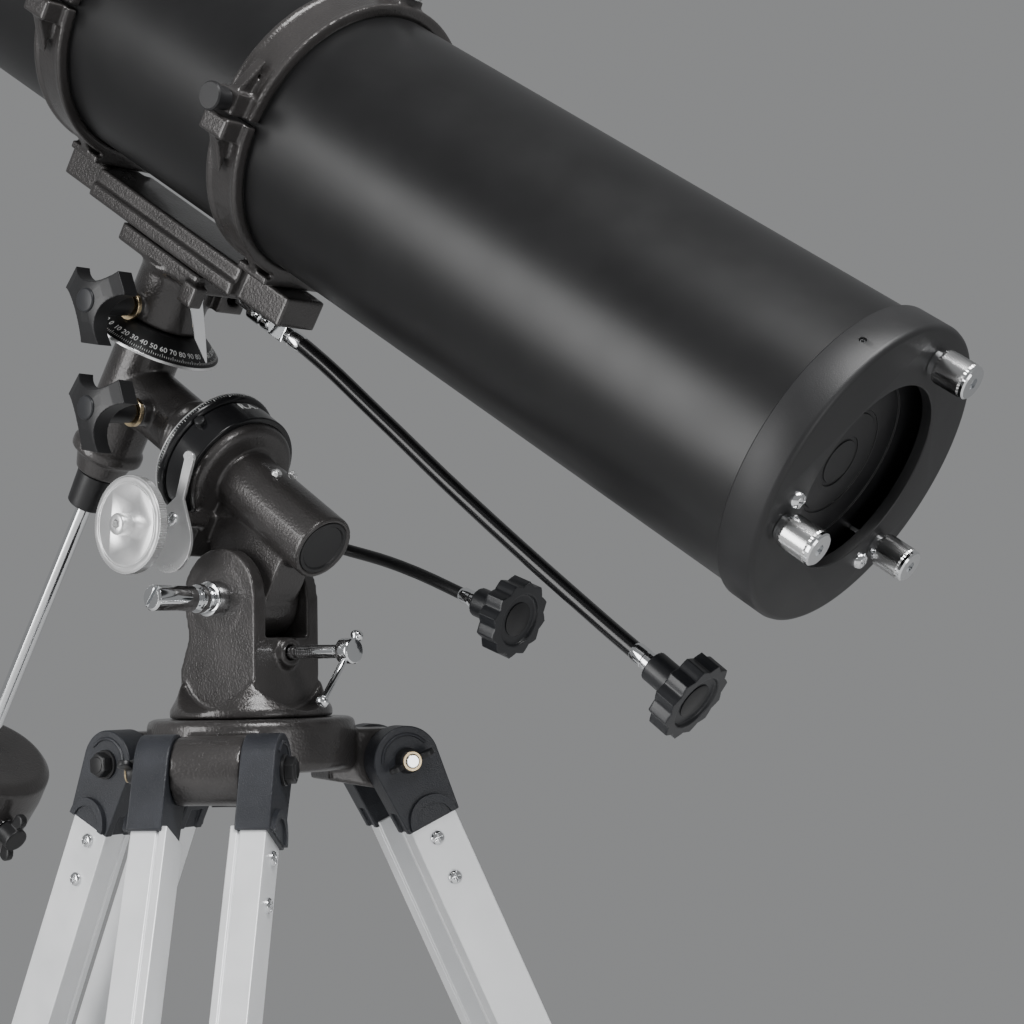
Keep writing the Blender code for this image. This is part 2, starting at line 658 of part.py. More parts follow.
def right_ascension_drive(polar):
    drum_south = -CIRCLE_NORTH - CIRCLE_THICKNESS
    bore = SHAFT_RADIUS + RUNNING
    hub = WHEEL_RADIUS - 0.8
    dial = -CIRCLE_NORTH - DIAL_THICKNESS
    drum = lathe(
        [
            (bore, drum_south), (hub, drum_south), (hub, dial), (CIRCLE_RADIUS - 3, dial),
            (CIRCLE_RADIUS, dial + 2.5), (CIRCLE_RADIUS, -CIRCLE_NORTH), (bore, -CIRCLE_NORTH),
        ],
        ROUND_STEPS,
        ring=True,
    )
    put("ra_circle", along(drum, "y"), "satin_black", polar)
    low = WORM_Y - WHEEL_THICKNESS / 2
    high = WORM_Y + WHEEL_THICKNESS / 2
    wheel = lathe([(bore, low), (WHEEL_RADIUS, low), (WHEEL_RADIUS, high), (bore, high)], 48, ring=True)
    put("ra_worm_wheel", along(wheel, "y"), "silver", polar)
    axis_at = (0, WORM_Y, -WORM_DROP)
    thumb = lathe(
        [
            (0, -WORM_WEST - THUMB_THICKNESS - 8), (5.5, -WORM_WEST - THUMB_THICKNESS - 8),
            (6.5, -WORM_WEST - THUMB_THICKNESS - 7), (6.5, -WORM_WEST - THUMB_THICKNESS),
            (THUMB_RADIUS - 1, -WORM_WEST - THUMB_THICKNESS), (THUMB_RADIUS, -WORM_WEST - THUMB_THICKNESS + 1),
            (THUMB_RADIUS, -WORM_WEST - 1), (THUMB_RADIUS - 1, -WORM_WEST), (WORM_SHAFT_RADIUS, -WORM_WEST),
            (WORM_SHAFT_RADIUS, -12), (WORM_RADIUS, -11), (WORM_RADIUS, 11), (WORM_SHAFT_RADIUS, 12),
            (WORM_SHAFT_RADIUS, WORM_EAST), (0, WORM_EAST),
        ],
        28,
    )
    put("ra_worm", along(thumb, "x"), "silver", polar, axis_at)
    pivot_y, pivot_z = LEVER_PIVOT
    disc = (pivot_y - 4 - pivot_y, -12.5)
    outline = arc(19, 130, 400, 26, disc)
    outline += [(5, 12), (11, 34)] + arc(4.5, -20, 160, 6, (8.5, 36))[1:] + [(-1, 14)]
    lever = prism(outline, -LEVER_THICKNESS / 2, LEVER_THICKNESS / 2)
    shaft_room = rod(11, -5, 5, SMALL_STEPS)
    shaft_room = shifted(shaft_room, WORM_Y - pivot_y, -WORM_DROP - pivot_z)
    head = rod(4, -LEVER_THICKNESS / 2 - 2.4, -LEVER_THICKNESS / 2 + 0.5)
    put("ra_lever", along(fused(carved(lever, shaft_room), head), "x"), "silver", polar, (-LEVER_X, pivot_y, pivot_z))


def drive_cable(name, points, radius, parent, sleeve_radius):
    """A flexible drive shaft: a bar with a thicker metal ferrule at each end."""
    cable = tube_along(points, radius)
    for end, inside in ((points[0], points[1]), (points[-1], points[-2])):
        direction = (Vector(inside) - Vector(end)).normalized()
        turn = direction.to_track_quat("Z", "Y").to_matrix().to_4x4()
        ferrule = moved(rod(sleeve_radius, 0, 14), Matrix.Translation(end) @ turn)
        cable = fused(cable, ferrule)
    put(name, cable, "satin_black", parent)


def knob_at(name, points, parent):
    """A scalloped knob beyond the last point of a drive cable, on its own frame with Z along the shaft."""
    end = Vector(points[-1])
    direction = (end - Vector(points[-2])).normalized()
    holder = frame(name + "_frame", parent, end + direction * GAP)
    holder.rotation_mode = "QUATERNION"
    holder.rotation_quaternion = direction.to_track_quat("Z", "Y")
    put(name, scalloped_knob(DRIVE_KNOB_RADIUS, DRIVE_KNOB_THICKNESS), "black_plastic", holder)


def declination_housing(hour):
    low = -DEC_BOTTOM
    body = lathe(
        [
            (0, low), (15, low), (18.5, -52), (23, -50), (23, -44), (DEC_RADIUS, -42), (DEC_RADIUS, DEC_TOP),
            (0, DEC_TOP),
        ]
    )
    sleeve = along(rod(POLAR_RADIUS, -CIRCLE_NORTH + GAP, 0, ROUND_STEPS), "y")
    shaft = along(rod(SHAFT_RADIUS, -POLAR_END + 12, 0, 28), "y")
    boss = along(rod(8, 10, 27, SMALL_STEPS), "-x", (0, RA_LOCK_Y, 0))
    body = fused(body, sleeve, shaft, boss)
    bore = rod(SHAFT_RADIUS + RUNNING, -38, DEC_TOP + 1, 28)
    socket = rod(ROD_RADIUS + GAP, low - 1, -46)
    put("dec_housing", carved(body, bore, socket), "hammertone", hour)


def lock_knob(name, parent, at):
    """A three-lobed clamp knob whose stem points to the axis that it locks."""
    start = 28.0
    neck = LOCK_KNOB_OUT + LOCK_KNOB_SWEEP - start
    knob = lobed_knob(LOCK_KNOB_RADIUS, LOCK_KNOB_THICKNESS, neck, 8.5, LOCK_KNOB_SWEEP)
    knob = moved(knob, Matrix.Rotation(math.radians(LOCK_KNOB_TURN), 4, "Z"))
    holder = frame(name + "_frame", parent, (at[0] - start - GAP, at[1], at[2]))
    put(name, along(knob, "-x"), "black_plastic", holder)


def counterweight(hour):
    start = DEC_BOTTOM + GAP
    bar = lathe(
        [
            (0, -ROD_END), (9, -ROD_END), (9, -ROD_END + 8), (ROD_RADIUS, -ROD_END + 8), (ROD_RADIUS, -start - 24),
            (12, -start - 24), (13, -start), (ROD_RADIUS, -start), (ROD_RADIUS, -48), (0, -48),
        ],
        SMALL_STEPS,
    )
    put("counterweight_rod", bar, "chrome", hour)
    bottom = -WEIGHT_TOP - WEIGHT_LENGTH
    bore = ROD_RADIUS + RUNNING
    weight = lathe(
        [
            (bore, bottom), (22, bottom), (34, bottom + 6), (44, bottom + 34), (WEIGHT_RADIUS, -WEIGHT_TOP - 22),
            (WEIGHT_RADIUS, -WEIGHT_TOP - 5), (WEIGHT_RADIUS - 6, -WEIGHT_TOP), (bore, -WEIGHT_TOP),
        ],
        ROUND_STEPS,
        ring=True,
    )
    hole = along(rod(4.3, 2, 60, TINY_STEPS), "-y", (0, 0, -WEIGHT_SCREW_DROP))
    put("counterweight", carved(weight, hole), "hammertone", hour)
    shank = rod(4, ROD_RADIUS + 1, WEIGHT_RADIUS + 8, TINY_STEPS)
    wing = block((-17, -5, WEIGHT_RADIUS + 4), (17, 5, WEIGHT_RADIUS + 15))
    screw = along(fused(shank, rod(8, WEIGHT_RADIUS + 1, WEIGHT_RADIUS + 14), wing), "-y")
    holder = frame("counterweight_screw_frame", hour, (0, 0, -WEIGHT_SCREW_DROP))
    put("counterweight_screw", moved(screw, Matrix.Rotation(math.radians(90), 4, "Y")), "black_plastic", holder)


def declination_circle(hour):
    low = DEC_TOP + GAP
    high = low + DEC_CIRCLE_HEIGHT
    bore = SHAFT_RADIUS + 2
    dial = lathe(
        [
            (bore, low), (DEC_CIRCLE_RADIUS, low), (DEC_CIRCLE_RADIUS, low + 2.5),
            (DEC_CIRCLE_RADIUS - 1, low + 3.2), (29, high), (bore, high),
        ],
        ROUND_STEPS,
        ring=True,
    )
    put("dec_circle", dial, "satin_black", hour)


# --- saddle and declination drive ---
def saddle(scope):
    floor = DEC_TOP + GAP + DEC_CIRCLE_HEIGHT + GAP
    top = PLATE_BOTTOM - GAP
    neck = lathe(
        [
            (0, -36), (SHAFT_RADIUS, -36), (SHAFT_RADIUS, floor), (NECK_RADIUS, floor), (NECK_RADIUS, top - 16),
            (NECK_RADIUS + 2, top - 10), (0, top - 10),
        ]
    )
    head = block((-PLATE_HALF, -38, top - 12), (PLATE_HALF, 38, top))
    worm_box = block((DEC_WORM_X - 12, -26, DEC_WORM_Z - 12), (DEC_WORM_X + 10, 26, top - 2))
    boss = along(rod(7, 10, 28, SMALL_STEPS), "-x", (0, 0, DEC_LOCK_Z))
    pointer_foot = block((-27, -43, 74), (-17, -30, 88))
    pointer = along(prism([(-25, 82), (-24.5, 77), (8, 38.6), (9.3, 38.8), (-18, 79)], 39.8, 41.2), "-y")
    body = fused(neck, head, worm_box, boss, pointer_foot, pointer)
    worm_bore = along(rod(WORM_RADIUS + RUNNING, -60, 60), "y", (DEC_WORM_X, 0, DEC_WORM_Z))
    put("saddle", carved(body, worm_bore), "hammertone", scope)


def declination_drive(scope):
    worm = lathe(
        [
            (0, -50), (WORM_SHAFT_RADIUS, -50), (WORM_SHAFT_RADIUS, -13), (WORM_RADIUS, -12), (WORM_RADIUS, 12),
            (WORM_SHAFT_RADIUS, 13), (WORM_SHAFT_RADIUS, 29), (0, 29),
        ],
        SMALL_STEPS,
    )
    collar = rod(6.5, -64, -42)
    fork = block((-6, -4, -76), (6, 4, -58))
    put("dec_worm", along(fused(worm, collar, fork), "y"), "chrome", scope, (DEC_WORM_X, 0, DEC_WORM_Z))
    start = -76 - GAP
    points = [
        (DEC_WORM_X, start, DEC_WORM_Z),
        (DEC_WORM_X, start - 18, DEC_WORM_Z),
        (DEC_WORM_X, -166, 71),
        (DEC_WORM_X, -242, 62),
        (DEC_WORM_X, -359, 52),
        (DEC_WORM_X, -400, 49.5),
    ]
    drive_cable("dec_cable", points, DEC_SLEEVE_RADIUS, scope, 5.6)
    knob_at("dec_knob", points, scope)


def mounting_plate(scope):
    body = block((-PLATE_HALF, -65, PLATE_BOTTOM), (PLATE_HALF, 76, PLATE_TOP))
    tongue = block(
        (-TONGUE_HALF, RING_SOUTH - RING_WIDTH - 1, PLATE_BOTTOM), (TONGUE_HALF, RING_NORTH + RING_WIDTH - 6, PLATE_TOP)
    )
    put("mounting_plate", fused(body, tongue), "hammertone", scope)


# --- tube rings ---
def half_band(start, end):
    outline = arc(RING_OUTER, start, end, 26) + arc(RING_INNER, end, start, 26)
    half = RING_WIDTH / 2
    return along(prism([(-x, z) for x, z in outline], -half, half), "-y")


def tube_ring(name, centre, y):
    """A hinged two-part ring: the lower half stands on the mounting plate, the upper half swings open."""
    half = RING_WIDTH / 2
    hinge_x = RING_OUTER + HINGE_OUT
    split = 1.0
    foot_z = -TUBE_OFFSET + PLATE_TOP + GAP
    foot_outline = [(-25, foot_z), (25, foot_z)] + arc(RING_INNER + 3, -63, -117, 8)
    foot = along(prism(foot_outline, -half, half), "-y")
    lug = block((-RING_OUTER - 13, -half + 3, -13), (-RING_OUTER + 2, half - 3, -split))
    lower = fused(half_band(181, 359), foot, lug)
    for side in (-1, 1):
        low, high = sorted((side * 4.7, side * half))
        knuckle = along(rod(5, low, high), "y", (hinge_x, 0, 0))
        bridge = block((RING_OUTER - 3, low, -5), (hinge_x, high, -split))
        lower = fused(lower, knuckle, bridge)
    lower = fused(lower, along(rod(2, -half, half, TINY_STEPS), "y", (hinge_x, 0, 0)))
    put(name + "_lower", lower, "hammertone", scope_at(name + "_lower_frame", centre, y))
    upper = half_band(1, 179)
    knuckle = along(rod(5, -4.4, 4.4), "y", (hinge_x, 0, 0))
    bridge = block((RING_OUTER - 3, -4.4, split), (hinge_x, 4.4, 5))
    lug = block((-RING_OUTER - 11, -half + 5, split), (-RING_OUTER + 2, half - 5, 14))
    pad = block((-10, -half + 3, RING_OUTER - 3), (10, half - 3, RING_OUTER + 4))
    pin_room = along(rod(2 + GAP, -half, half, TINY_STEPS), "y", (hinge_x, 0, 0))
    screw_room = along(rod(2.5 + GAP, RING_OUTER + 2, RING_OUTER + 30, TINY_STEPS), "-x", (0, 0, 7.5))
    upper = carved(fused(upper, knuckle, bridge, lug, pad), pin_room, screw_room)
    holder = frame(name + "_hinge_frame", centre, (hinge_x, y, TUBE_OFFSET))
    put(name + "_upper", shifted(upper, -hinge_x), "hammertone", holder)
    face = RING_OUTER + 11 + GAP
    shank = rod(2.5, RING_OUTER + 3, face + 4, TINY_STEPS)
    head = lathe([(0, face), (5.5, face), (6.5, face + 1), (6.5, face + 9), (8, face + 9.5), (8, face + 12), (0, face + 12)], SMALL_STEPS)
    screw = along(fused(shank, head), "-x")
    put(name + "_screw", screw, "black_plastic", centre, (0, y, TUBE_OFFSET + 7.5))


def scope_at(name, scope, y):
    return frame(name, scope, (0, y, TUBE_OFFSET))


def camera_screw(scope):
    base = TUBE_OFFSET + RING_OUTER + 4 + GAP
    screw = lathe([(0, 0), (12.5, 0), (12.5, 9), (11.5, 10), (3.1, 10), (3.1, 18), (0, 18)], SMALL_STEPS)
    put("camera_screw", screw, "chrome", scope, (0, RING_SOUTH, base))


# --- optical tube ---
def tube(optics):
    inner = TUBE_RADIUS - TUBE_WALL
    south = -TUBE_REAR + CELL_PLATE + GAP
    shell = lathe(
        [
            (inner, south), (TUBE_RADIUS, south), (TUBE_RADIUS, TUBE_FRONT - 14), (TUBE_RADIUS + 2.5, TUBE_FRONT - 13),
            (TUBE_RADIUS + 2.5, TUBE_FRONT), (inner, TUBE_FRONT),
        ],
        48,
        ring=True,
    )
    shell = along(shell, "y")
    window = moved(rod(DRAW_RADIUS + 1.5, TUBE_RADIUS - 30, TUBE_RADIUS + 20, 28), focus_matrix())
    put("tube", carved(shell, window), "satin_black", optics)


def focus_matrix():
    return Matrix.Translation((0, FOCUS_Y, 0)) @ Matrix.Rotation(math.radians(FOCUS_TURN), 4, "Y")


def mirror_end(optics):
    outer = TUBE_RADIUS + CELL_OVERHANG
    inner = TUBE_RADIUS + GAP
    cell = lathe(
        [
            (CELL_HOLE, -TUBE_REAR), (outer - 3, -TUBE_REAR), (outer - 0.9, -TUBE_REAR + 0.9), (outer, -TUBE_REAR + 3),
            (outer, -TUBE_REAR + CELL_LENGTH), (inner, -TUBE_REAR + CELL_LENGTH), (inner, -TUBE_REAR + CELL_PLATE),
            (CELL_HOLE, -TUBE_REAR + CELL_PLATE),
        ],
        48,
        ring=True,
    )
    cell = along(cell, "y")
    for angle in COLLIMATION_ANGLES:
        x = COLLIMATION_CIRCLE * math.cos(math.radians(angle))
        z = COLLIMATION_CIRCLE * math.sin(math.radians(angle))
        hole = along(rod(2.5 + GAP, -TUBE_REAR - 1, -TUBE_REAR + CELL_PLATE + 1, TINY_STEPS), "y", (x, 0, z))
        cell = carved(cell, hole)
    put("mirror_cell", cell, "cell_black", optics)
    back = -TUBE_REAR + CELL_PLATE + 10
    mirror = lathe(
        [
            (0, back), (MIRROR_RADIUS + 5, back), (MIRROR_RADIUS + 5, back + 4), (MIRROR_RADIUS, back + 4),
            (MIRROR_RADIUS, back + 4 + MIRROR_THICKNESS), (MIRROR_RADIUS * 0.5, back + 2.9 + MIRROR_THICKNESS),
            (0, back + 2.5 + MIRROR_THICKNESS),
        ],
        36,
    )
    put("primary_mirror", along(mirror, "y"), "glass", optics)
    for number, angle in enumerate(COLLIMATION_ANGLES, 1):
        x = COLLIMATION_CIRCLE * math.cos(math.radians(angle))
        z = COLLIMATION_CIRCLE * math.sin(math.radians(angle))
        face = -TUBE_REAR - GAP
        knob = lathe(
            [
                (0, face - COLLIMATION_LENGTH), (COLLIMATION_RADIUS - 1, face - COLLIMATION_LENGTH),
                (COLLIMATION_RADIUS, face - COLLIMATION_LENGTH + 1), (COLLIMATION_RADIUS, face - 4),
                (COLLIMATION_RADIUS - 2, face - 3), (COLLIMATION_RADIUS - 2, face), (2.5, face), (2.5, back - GAP), (0, back - GAP),
            ],
            SMALL_STEPS,
        )
        put("collimation_knob_" + str(number), along(knob, "y"), "chrome", optics, (x, 0, z))


def spider(optics):
    """Secondary holder with a face cut at 45 degrees towards the focuser, on three thin vanes."""
    reach = TUBE_RADIUS - TUBE_WALL - GAP
    hub = along(rod(17, FOCUS_Y - 20, FOCUS_Y + 32, 28), "y")
    out = Matrix.Rotation(math.radians(FOCUS_TURN), 4, "Y") @ Vector((0, 0, 1))
    toward_mirror = Vector((0, -1, 0))
    normal = (out + toward_mirror).normalized()
    cutter = block((-60, -60, 0), (60, 60, 80))
    cutter = moved(cutter, Matrix.Translation((0, FOCUS_Y, 0)) @ normal.to_track_quat("Z", "Y").to_matrix().to_4x4())
    hub = carved(hub, cutter)
    for turn in (60, 180, 300):
        vane = block((-0.6, FOCUS_Y + 10, 8), (0.6, FOCUS_Y + 28, reach))
        hub = fused(hub, moved(vane, Matrix.Rotation(math.radians(FOCUS_TURN + turn), 4, "Y")))
    put("secondary_spider", hub, "satin_black", optics)


def focuser(optics):
    holder = frame("focuser_frame", optics, (0, FOCUS_Y, 0), (0, FOCUS_TURN, 0))
    lip = TUBE_RADIUS + 73
    saddle_block = block((-34, -34, TUBE_RADIUS - 30), (34, 34, TUBE_RADIUS + 5.5))
    barrel = rod(31, TUBE_RADIUS + 2, TUBE_RADIUS + 38, 32)
    pinion_box = block((20, -20, TUBE_RADIUS + 10), (37, 20, TUBE_RADIUS + 30))
    body = fused(saddle_block, barrel, pinion_box)
    seat = along(rod(TUBE_RADIUS + GAP, -60, 60, 96), "y")
    bore = rod(DRAW_RADIUS + RUNNING, TUBE_RADIUS - 40, TUBE_RADIUS + 50, 36)
    pinion_at = (DRAW_RADIUS + 5.5, 0, TUBE_RADIUS + 21)
    pinion_bore = along(rod(3 + GAP, -30, 30, TINY_STEPS), "y", pinion_at)
    put("focuser_body", carved(body, seat, bore, pinion_bore), "black_plastic", holder)
    draw = lathe(
        [
            (23.5, TUBE_RADIUS - 10), (DRAW_RADIUS, TUBE_RADIUS - 10), (DRAW_RADIUS, lip - 13), (29, lip - 13),
            (30, lip - 12), (30, lip - 1), (29, lip), (16.1, lip), (16.1, lip - 21), (23.5, lip - 23),
        ],
        36,
        ring=True,
    )
    put("focuser_drawtube", draw, "silver", holder)
    shaft = rod(3, -42, 42, TINY_STEPS)
    left = lathe([(0, -42), (14, -42), (15, -41), (15, -27), (13, -25), (0, -25)], SMALL_STEPS)
    right = lathe([(0, 25), (13, 25), (15, 27), (15, 41), (14, 42), (0, 42)], SMALL_STEPS)
    put("focus_knobs", along(fused(shaft, left, right), "y"), "black_plastic", holder, pinion_at)
    eyepiece = lathe(
        [
            (0, lip - 25), (15.7, lip - 25), (15.7, lip + GAP), (19, lip + GAP), (19, lip + 23), (17, lip + 27),
            (17, lip + 43), (0, lip + 43),
        ],
        SMALL_STEPS,
    )
    put("eyepiece", eyepiece, "satin_black", holder)


def finder(optics):
    holder = frame("finder_frame", optics, (0, FOCUS_Y, 0), (0, FINDER_TURN, 0))
    foot = block((-13, -26, TUBE_RADIUS - 20), (13, 26, TUBE_RADIUS + 6))
    foot = carved(foot, along(rod(TUBE_RADIUS + GAP, -60, 60, 96), "y"))
    stalk = block((-4, -14, TUBE_RADIUS + 4), (4, 14, TUBE_RADIUS + 28))
    body = lathe([(0, -78), (12, -78), (13, -60), (13, 40), (17.5, 62), (17.5, 92), (0, 92)], SMALL_STEPS)
    ring = rod(21, -8, 8)
    middle = (0, 0, TUBE_RADIUS + 42)
    put("finder_scope", fused(foot, stalk, along(ring, "y", middle), along(body, "y", middle)), "satin_black", holder)


def lowest_and_middle():
    """Corners of the whole object in world space."""
    bpy.context.view_layer.update()
    corners = []
    for obj in bpy.context.scene.objects:
        if obj.type == "MESH":
            corners += [obj.matrix_world @ vertex.co for vertex in obj.data.vertices]
    low = Vector([min(corner[axis] for corner in corners) for axis in range(3)])
    high = Vector([max(corner[axis] for corner in corners) for axis in range(3)])
    return low, high


def main():
    for obj in list(bpy.data.objects):
        bpy.data.objects.remove(obj)
    stand = frame("stand", None)
    tripod(stand)
    azimuth = frame("azimuth", stand)
    azimuth_base(azimuth)
    latitude = frame("latitude", azimuth, (0, 0, PIVOT_HEIGHT), (LATITUDE, 0, 0))
    latitude_hardware(azimuth)
    polar = frame("polar", latitude, (0, POLAR_REACH, POLAR_RISE))
    polar_housing(polar)
    right_ascension_drive(polar)
    cable_start = WORM_EAST + GAP
    ra_points = [
        (cable_start, WORM_Y, -WORM_DROP),
        (cable_start + 18, WORM_Y, -WORM_DROP),
        (84, -143, -31),
        (85, -190, -15),
        (85, -254, 0),
    ]
    drive_cable("ra_cable", ra_points, CABLE_RADIUS, polar, 4.8)
    knob_at("ra_knob", ra_points, polar)
    hour = frame("hour", polar, (0, 0, 0), (0, REST_HOUR, 0))
    declination_housing(hour)
    lock_knob("ra_lock_knob", hour, (0, RA_LOCK_Y, 0))
    counterweight(hour)
    declination_circle(hour)
    scope = frame("scope", hour, (0, 0, 0), (0, 0, REST_DECLINATION))
    saddle(scope)
    lock_knob("dec_lock_knob", scope, (0, 0, DEC_LOCK_Z))
    declination_drive(scope)
    mounting_plate(scope)
    tube_ring("ring_south", scope, RING_SOUTH)
    tube_ring("ring_north", scope, RING_NORTH)
    camera_screw(scope)
    optics = frame("optics", scope, (0, 0, TUBE_OFFSET))
    tube(optics)
    mirror_end(optics)
    spider(optics)
    focuser(optics)
    finder(optics)
    low, high = lowest_and_middle()
    stand.location = (-(low.x + high.x) / 2, -(low.y + high.y) / 2, -low.z)
    bpy.context.view_layer.update()


main()
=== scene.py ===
"""Looks of a reflector telescope on an equatorial mount and a folding aluminium tripod.

Sizes are in millimetres in the same local frames as the solids; each piece is scaled to metres once.
"""
import json
import math

import bmesh
import bpy
from mathutils import Matrix, Vector


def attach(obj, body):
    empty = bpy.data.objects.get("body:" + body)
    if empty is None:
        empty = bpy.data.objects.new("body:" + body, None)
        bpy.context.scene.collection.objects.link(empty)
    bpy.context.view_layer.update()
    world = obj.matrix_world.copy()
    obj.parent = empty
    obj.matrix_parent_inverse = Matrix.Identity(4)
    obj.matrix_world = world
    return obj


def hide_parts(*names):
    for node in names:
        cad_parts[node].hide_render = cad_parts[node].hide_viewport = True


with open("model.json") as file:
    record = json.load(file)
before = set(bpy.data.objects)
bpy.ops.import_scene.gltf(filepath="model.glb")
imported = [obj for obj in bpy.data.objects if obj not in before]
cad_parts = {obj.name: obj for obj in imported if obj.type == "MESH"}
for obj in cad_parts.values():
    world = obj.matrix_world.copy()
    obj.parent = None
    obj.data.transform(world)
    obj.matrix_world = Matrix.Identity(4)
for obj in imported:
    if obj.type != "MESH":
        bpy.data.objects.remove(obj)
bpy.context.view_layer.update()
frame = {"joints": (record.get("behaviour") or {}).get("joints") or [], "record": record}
NODE_BODY = {node: body for body, nodes in frame["record"]["behaviour"]["bodies"].items() for node in nodes}
JOINTS = {joint["name"]: joint for joint in frame["joints"]}

MM = 0.001
GAP = 0.3
RUNNING = 0.4
ROUND_STEPS = 96
SMALL_STEPS = 48
TINY_STEPS = 24

# --- tripod ---
HEAD_HEIGHT = 820.0
HEAD_RADIUS = 61.4
HEAD_THICKNESS = 31.0
LEG_TURNS = {"leg_1": 211.1, "leg_2": 331.1, "leg_3": 91.1}
SPLAY = 24.65
PIVOT_RADIUS = 83.5
PIVOT_DROP = 27.0
LUG_RADIUS = 19.0
LUG_WIDTH = 39.5
PIVOT_BOLT_RADIUS = 4.0
EAR_THICKNESS = 19.5
EAR_RADIUS = 20.5
EAR_DEPTH = 35.0
EAR_LENGTH = 40.0
RAIL_OFFSET = 27.4
RAIL_WIDTH = 20.0
RAIL_DEPTH = 30.8
RAIL_LENGTH = 560.0
CLAMP_LENGTH = 42.0
CLAMP_WALL = 5.0
LOWER_DEPTH = 15.0
LOWER_SHIFT = 6.5
LOWER_TOP = 395.0
FOOT_LENGTH = 48.0
LOCK_RADIUS = 3.0
BRACE_AT = 340.0
BRACE_INSET = 9.5
BRACE_TILT = 5.0
BRACE_WIDTH = 18.0
BRACE_THICKNESS = 4.0
BRACE_EYE = 5.5
HUB_ARM = 34.0
TRAY_RADIUS = 79.0
TRAY_RIM = 10.0
HEAD_BOLT_RADIUS = 5.0
HEAD_BOLT_RISE = 12.0

# --- azimuth base ---
BASE_HALF = 26.5
BASE_SOUTH = 30.0
BASE_RADIUS = 48.0
PIVOT_HEIGHT = 70.0
CHEEK_RADIUS = 30.0
SLOT_HALF = 17.0
SLOT_FLOOR = 25.0
SILL_HEIGHT = 47.0
SCREW_HEIGHT = 38.0
SCREW_RADIUS = 4.0
SCREW_REACH = 84.0
BAR_TURN = 51.7
LATITUDE_BOLT_RADIUS = 5.0

# --- polar housing and right ascension drive ---
LATITUDE = 34.41
POLAR_RISE = 57.0
POLAR_REACH = 164.1
KNUCKLE_RADIUS = 24.0
POLAR_RADIUS = 20.1
POLAR_END = 198.5
SHAFT_RADIUS = 10.0
CIRCLE_RADIUS = 42.2
CIRCLE_NORTH = 88.0
CIRCLE_THICKNESS = 18.0
DIAL_THICKNESS = 6.0
COVER_RADIUS = 36.0
SHROUD_RADIUS = 39.6
WHEEL_RADIUS = 32.5
WHEEL_THICKNESS = 10.0
WORM_DROP = 39.7
WORM_RADIUS = 6.2
WORM_SHAFT_RADIUS = 3.4
WORM_WEST = 60.0
WORM_EAST = 44.0
THUMB_RADIUS = 29.0
THUMB_THICKNESS = 7.0
LEVER_X = 44.5
LEVER_THICKNESS = 2.2
LEVER_PIVOT = (-122.8, -27.8)
CABLE_RADIUS = 3.8

# --- declination housing and counterweight ---
DEC_RADIUS = 21.0
DEC_TOP = 33.0
DEC_BOTTOM = 64.0
LOCK_KNOB_RADIUS = 27.0
LOCK_KNOB_OUT = 48.0
LOCK_KNOB_THICKNESS = 11.0
LOCK_KNOB_SWEEP = 7.0
LOCK_KNOB_TURN = 52.6
RA_LOCK_Y = -40.0
DEC_LOCK_Z = 54.0
ROD_RADIUS = 5.0
ROD_END = 405.0
WEIGHT_TOP = 281.0
WEIGHT_LENGTH = 86.0
WEIGHT_RADIUS = 47.5
WEIGHT_SCREW_DROP = 312.0
DEC_CIRCLE_RADIUS = 42.7
DEC_CIRCLE_HEIGHT = 13.0

# --- saddle, declination drive and mounting plate ---
NECK_RADIUS = 24.0
PLATE_BOTTOM = 94.0
PLATE_TOP = 113.0
PLATE_HALF = 24.0
TONGUE_HALF = 16.0
DEC_WORM_X = 28.0
DEC_WORM_Z = 78.5
DEC_SLEEVE_RADIUS = 4.9
DRIVE_KNOB_RADIUS = 24.0
DRIVE_KNOB_THICKNESS = 13.0
DRIVE_HUB = 20.0

# --- optical tube ---
TUBE_RADIUS = 80.0
TUBE_WALL = 1.8
RING_FELT = 0.5
RING_BAND = 7.0
RING_WIDTH = 26.0
RING_NORTH = 92.0
RING_SOUTH = -76.0
FOOT_HEIGHT = 4.2
HINGE_OUT = 6.5
TUBE_FRONT = 392.0
TUBE_REAR = 468.0
CELL_LENGTH = 22.0
CELL_OVERHANG = 3.0
CELL_PLATE = 6.0
CELL_HOLE = 50.9
MIRROR_RADIUS = 65.0
MIRROR_THICKNESS = 12.0
COLLIMATION_CIRCLE = 65.0
COLLIMATION_ANGLES = (84.0, 204.0, 324.0)
COLLIMATION_RADIUS = 9.0
COLLIMATION_LENGTH = 22.0
FOCUS_Y = 292.0
FOCUS_TURN = -45.0
DRAW_RADIUS = 26.0
FINDER_TURN = -8.0

# --- derived sizes ---
RING_INNER = TUBE_RADIUS + RING_FELT
RING_OUTER = RING_INNER + RING_BAND
TUBE_OFFSET = PLATE_TOP + GAP + FOOT_HEIGHT + RING_OUTER
RAIL_INNER = RAIL_OFFSET - RAIL_WIDTH / 2
RAIL_OUTER = RAIL_OFFSET + RAIL_WIDTH / 2
EAR_INNER = LUG_WIDTH / 2 + GAP
EAR_OUTER = EAR_INNER + EAR_THICKNESS
LOWER_HALF = RAIL_INNER - RUNNING
WORM_Y = -(CIRCLE_NORTH + CIRCLE_THICKNESS + GAP + WHEEL_THICKNESS / 2)


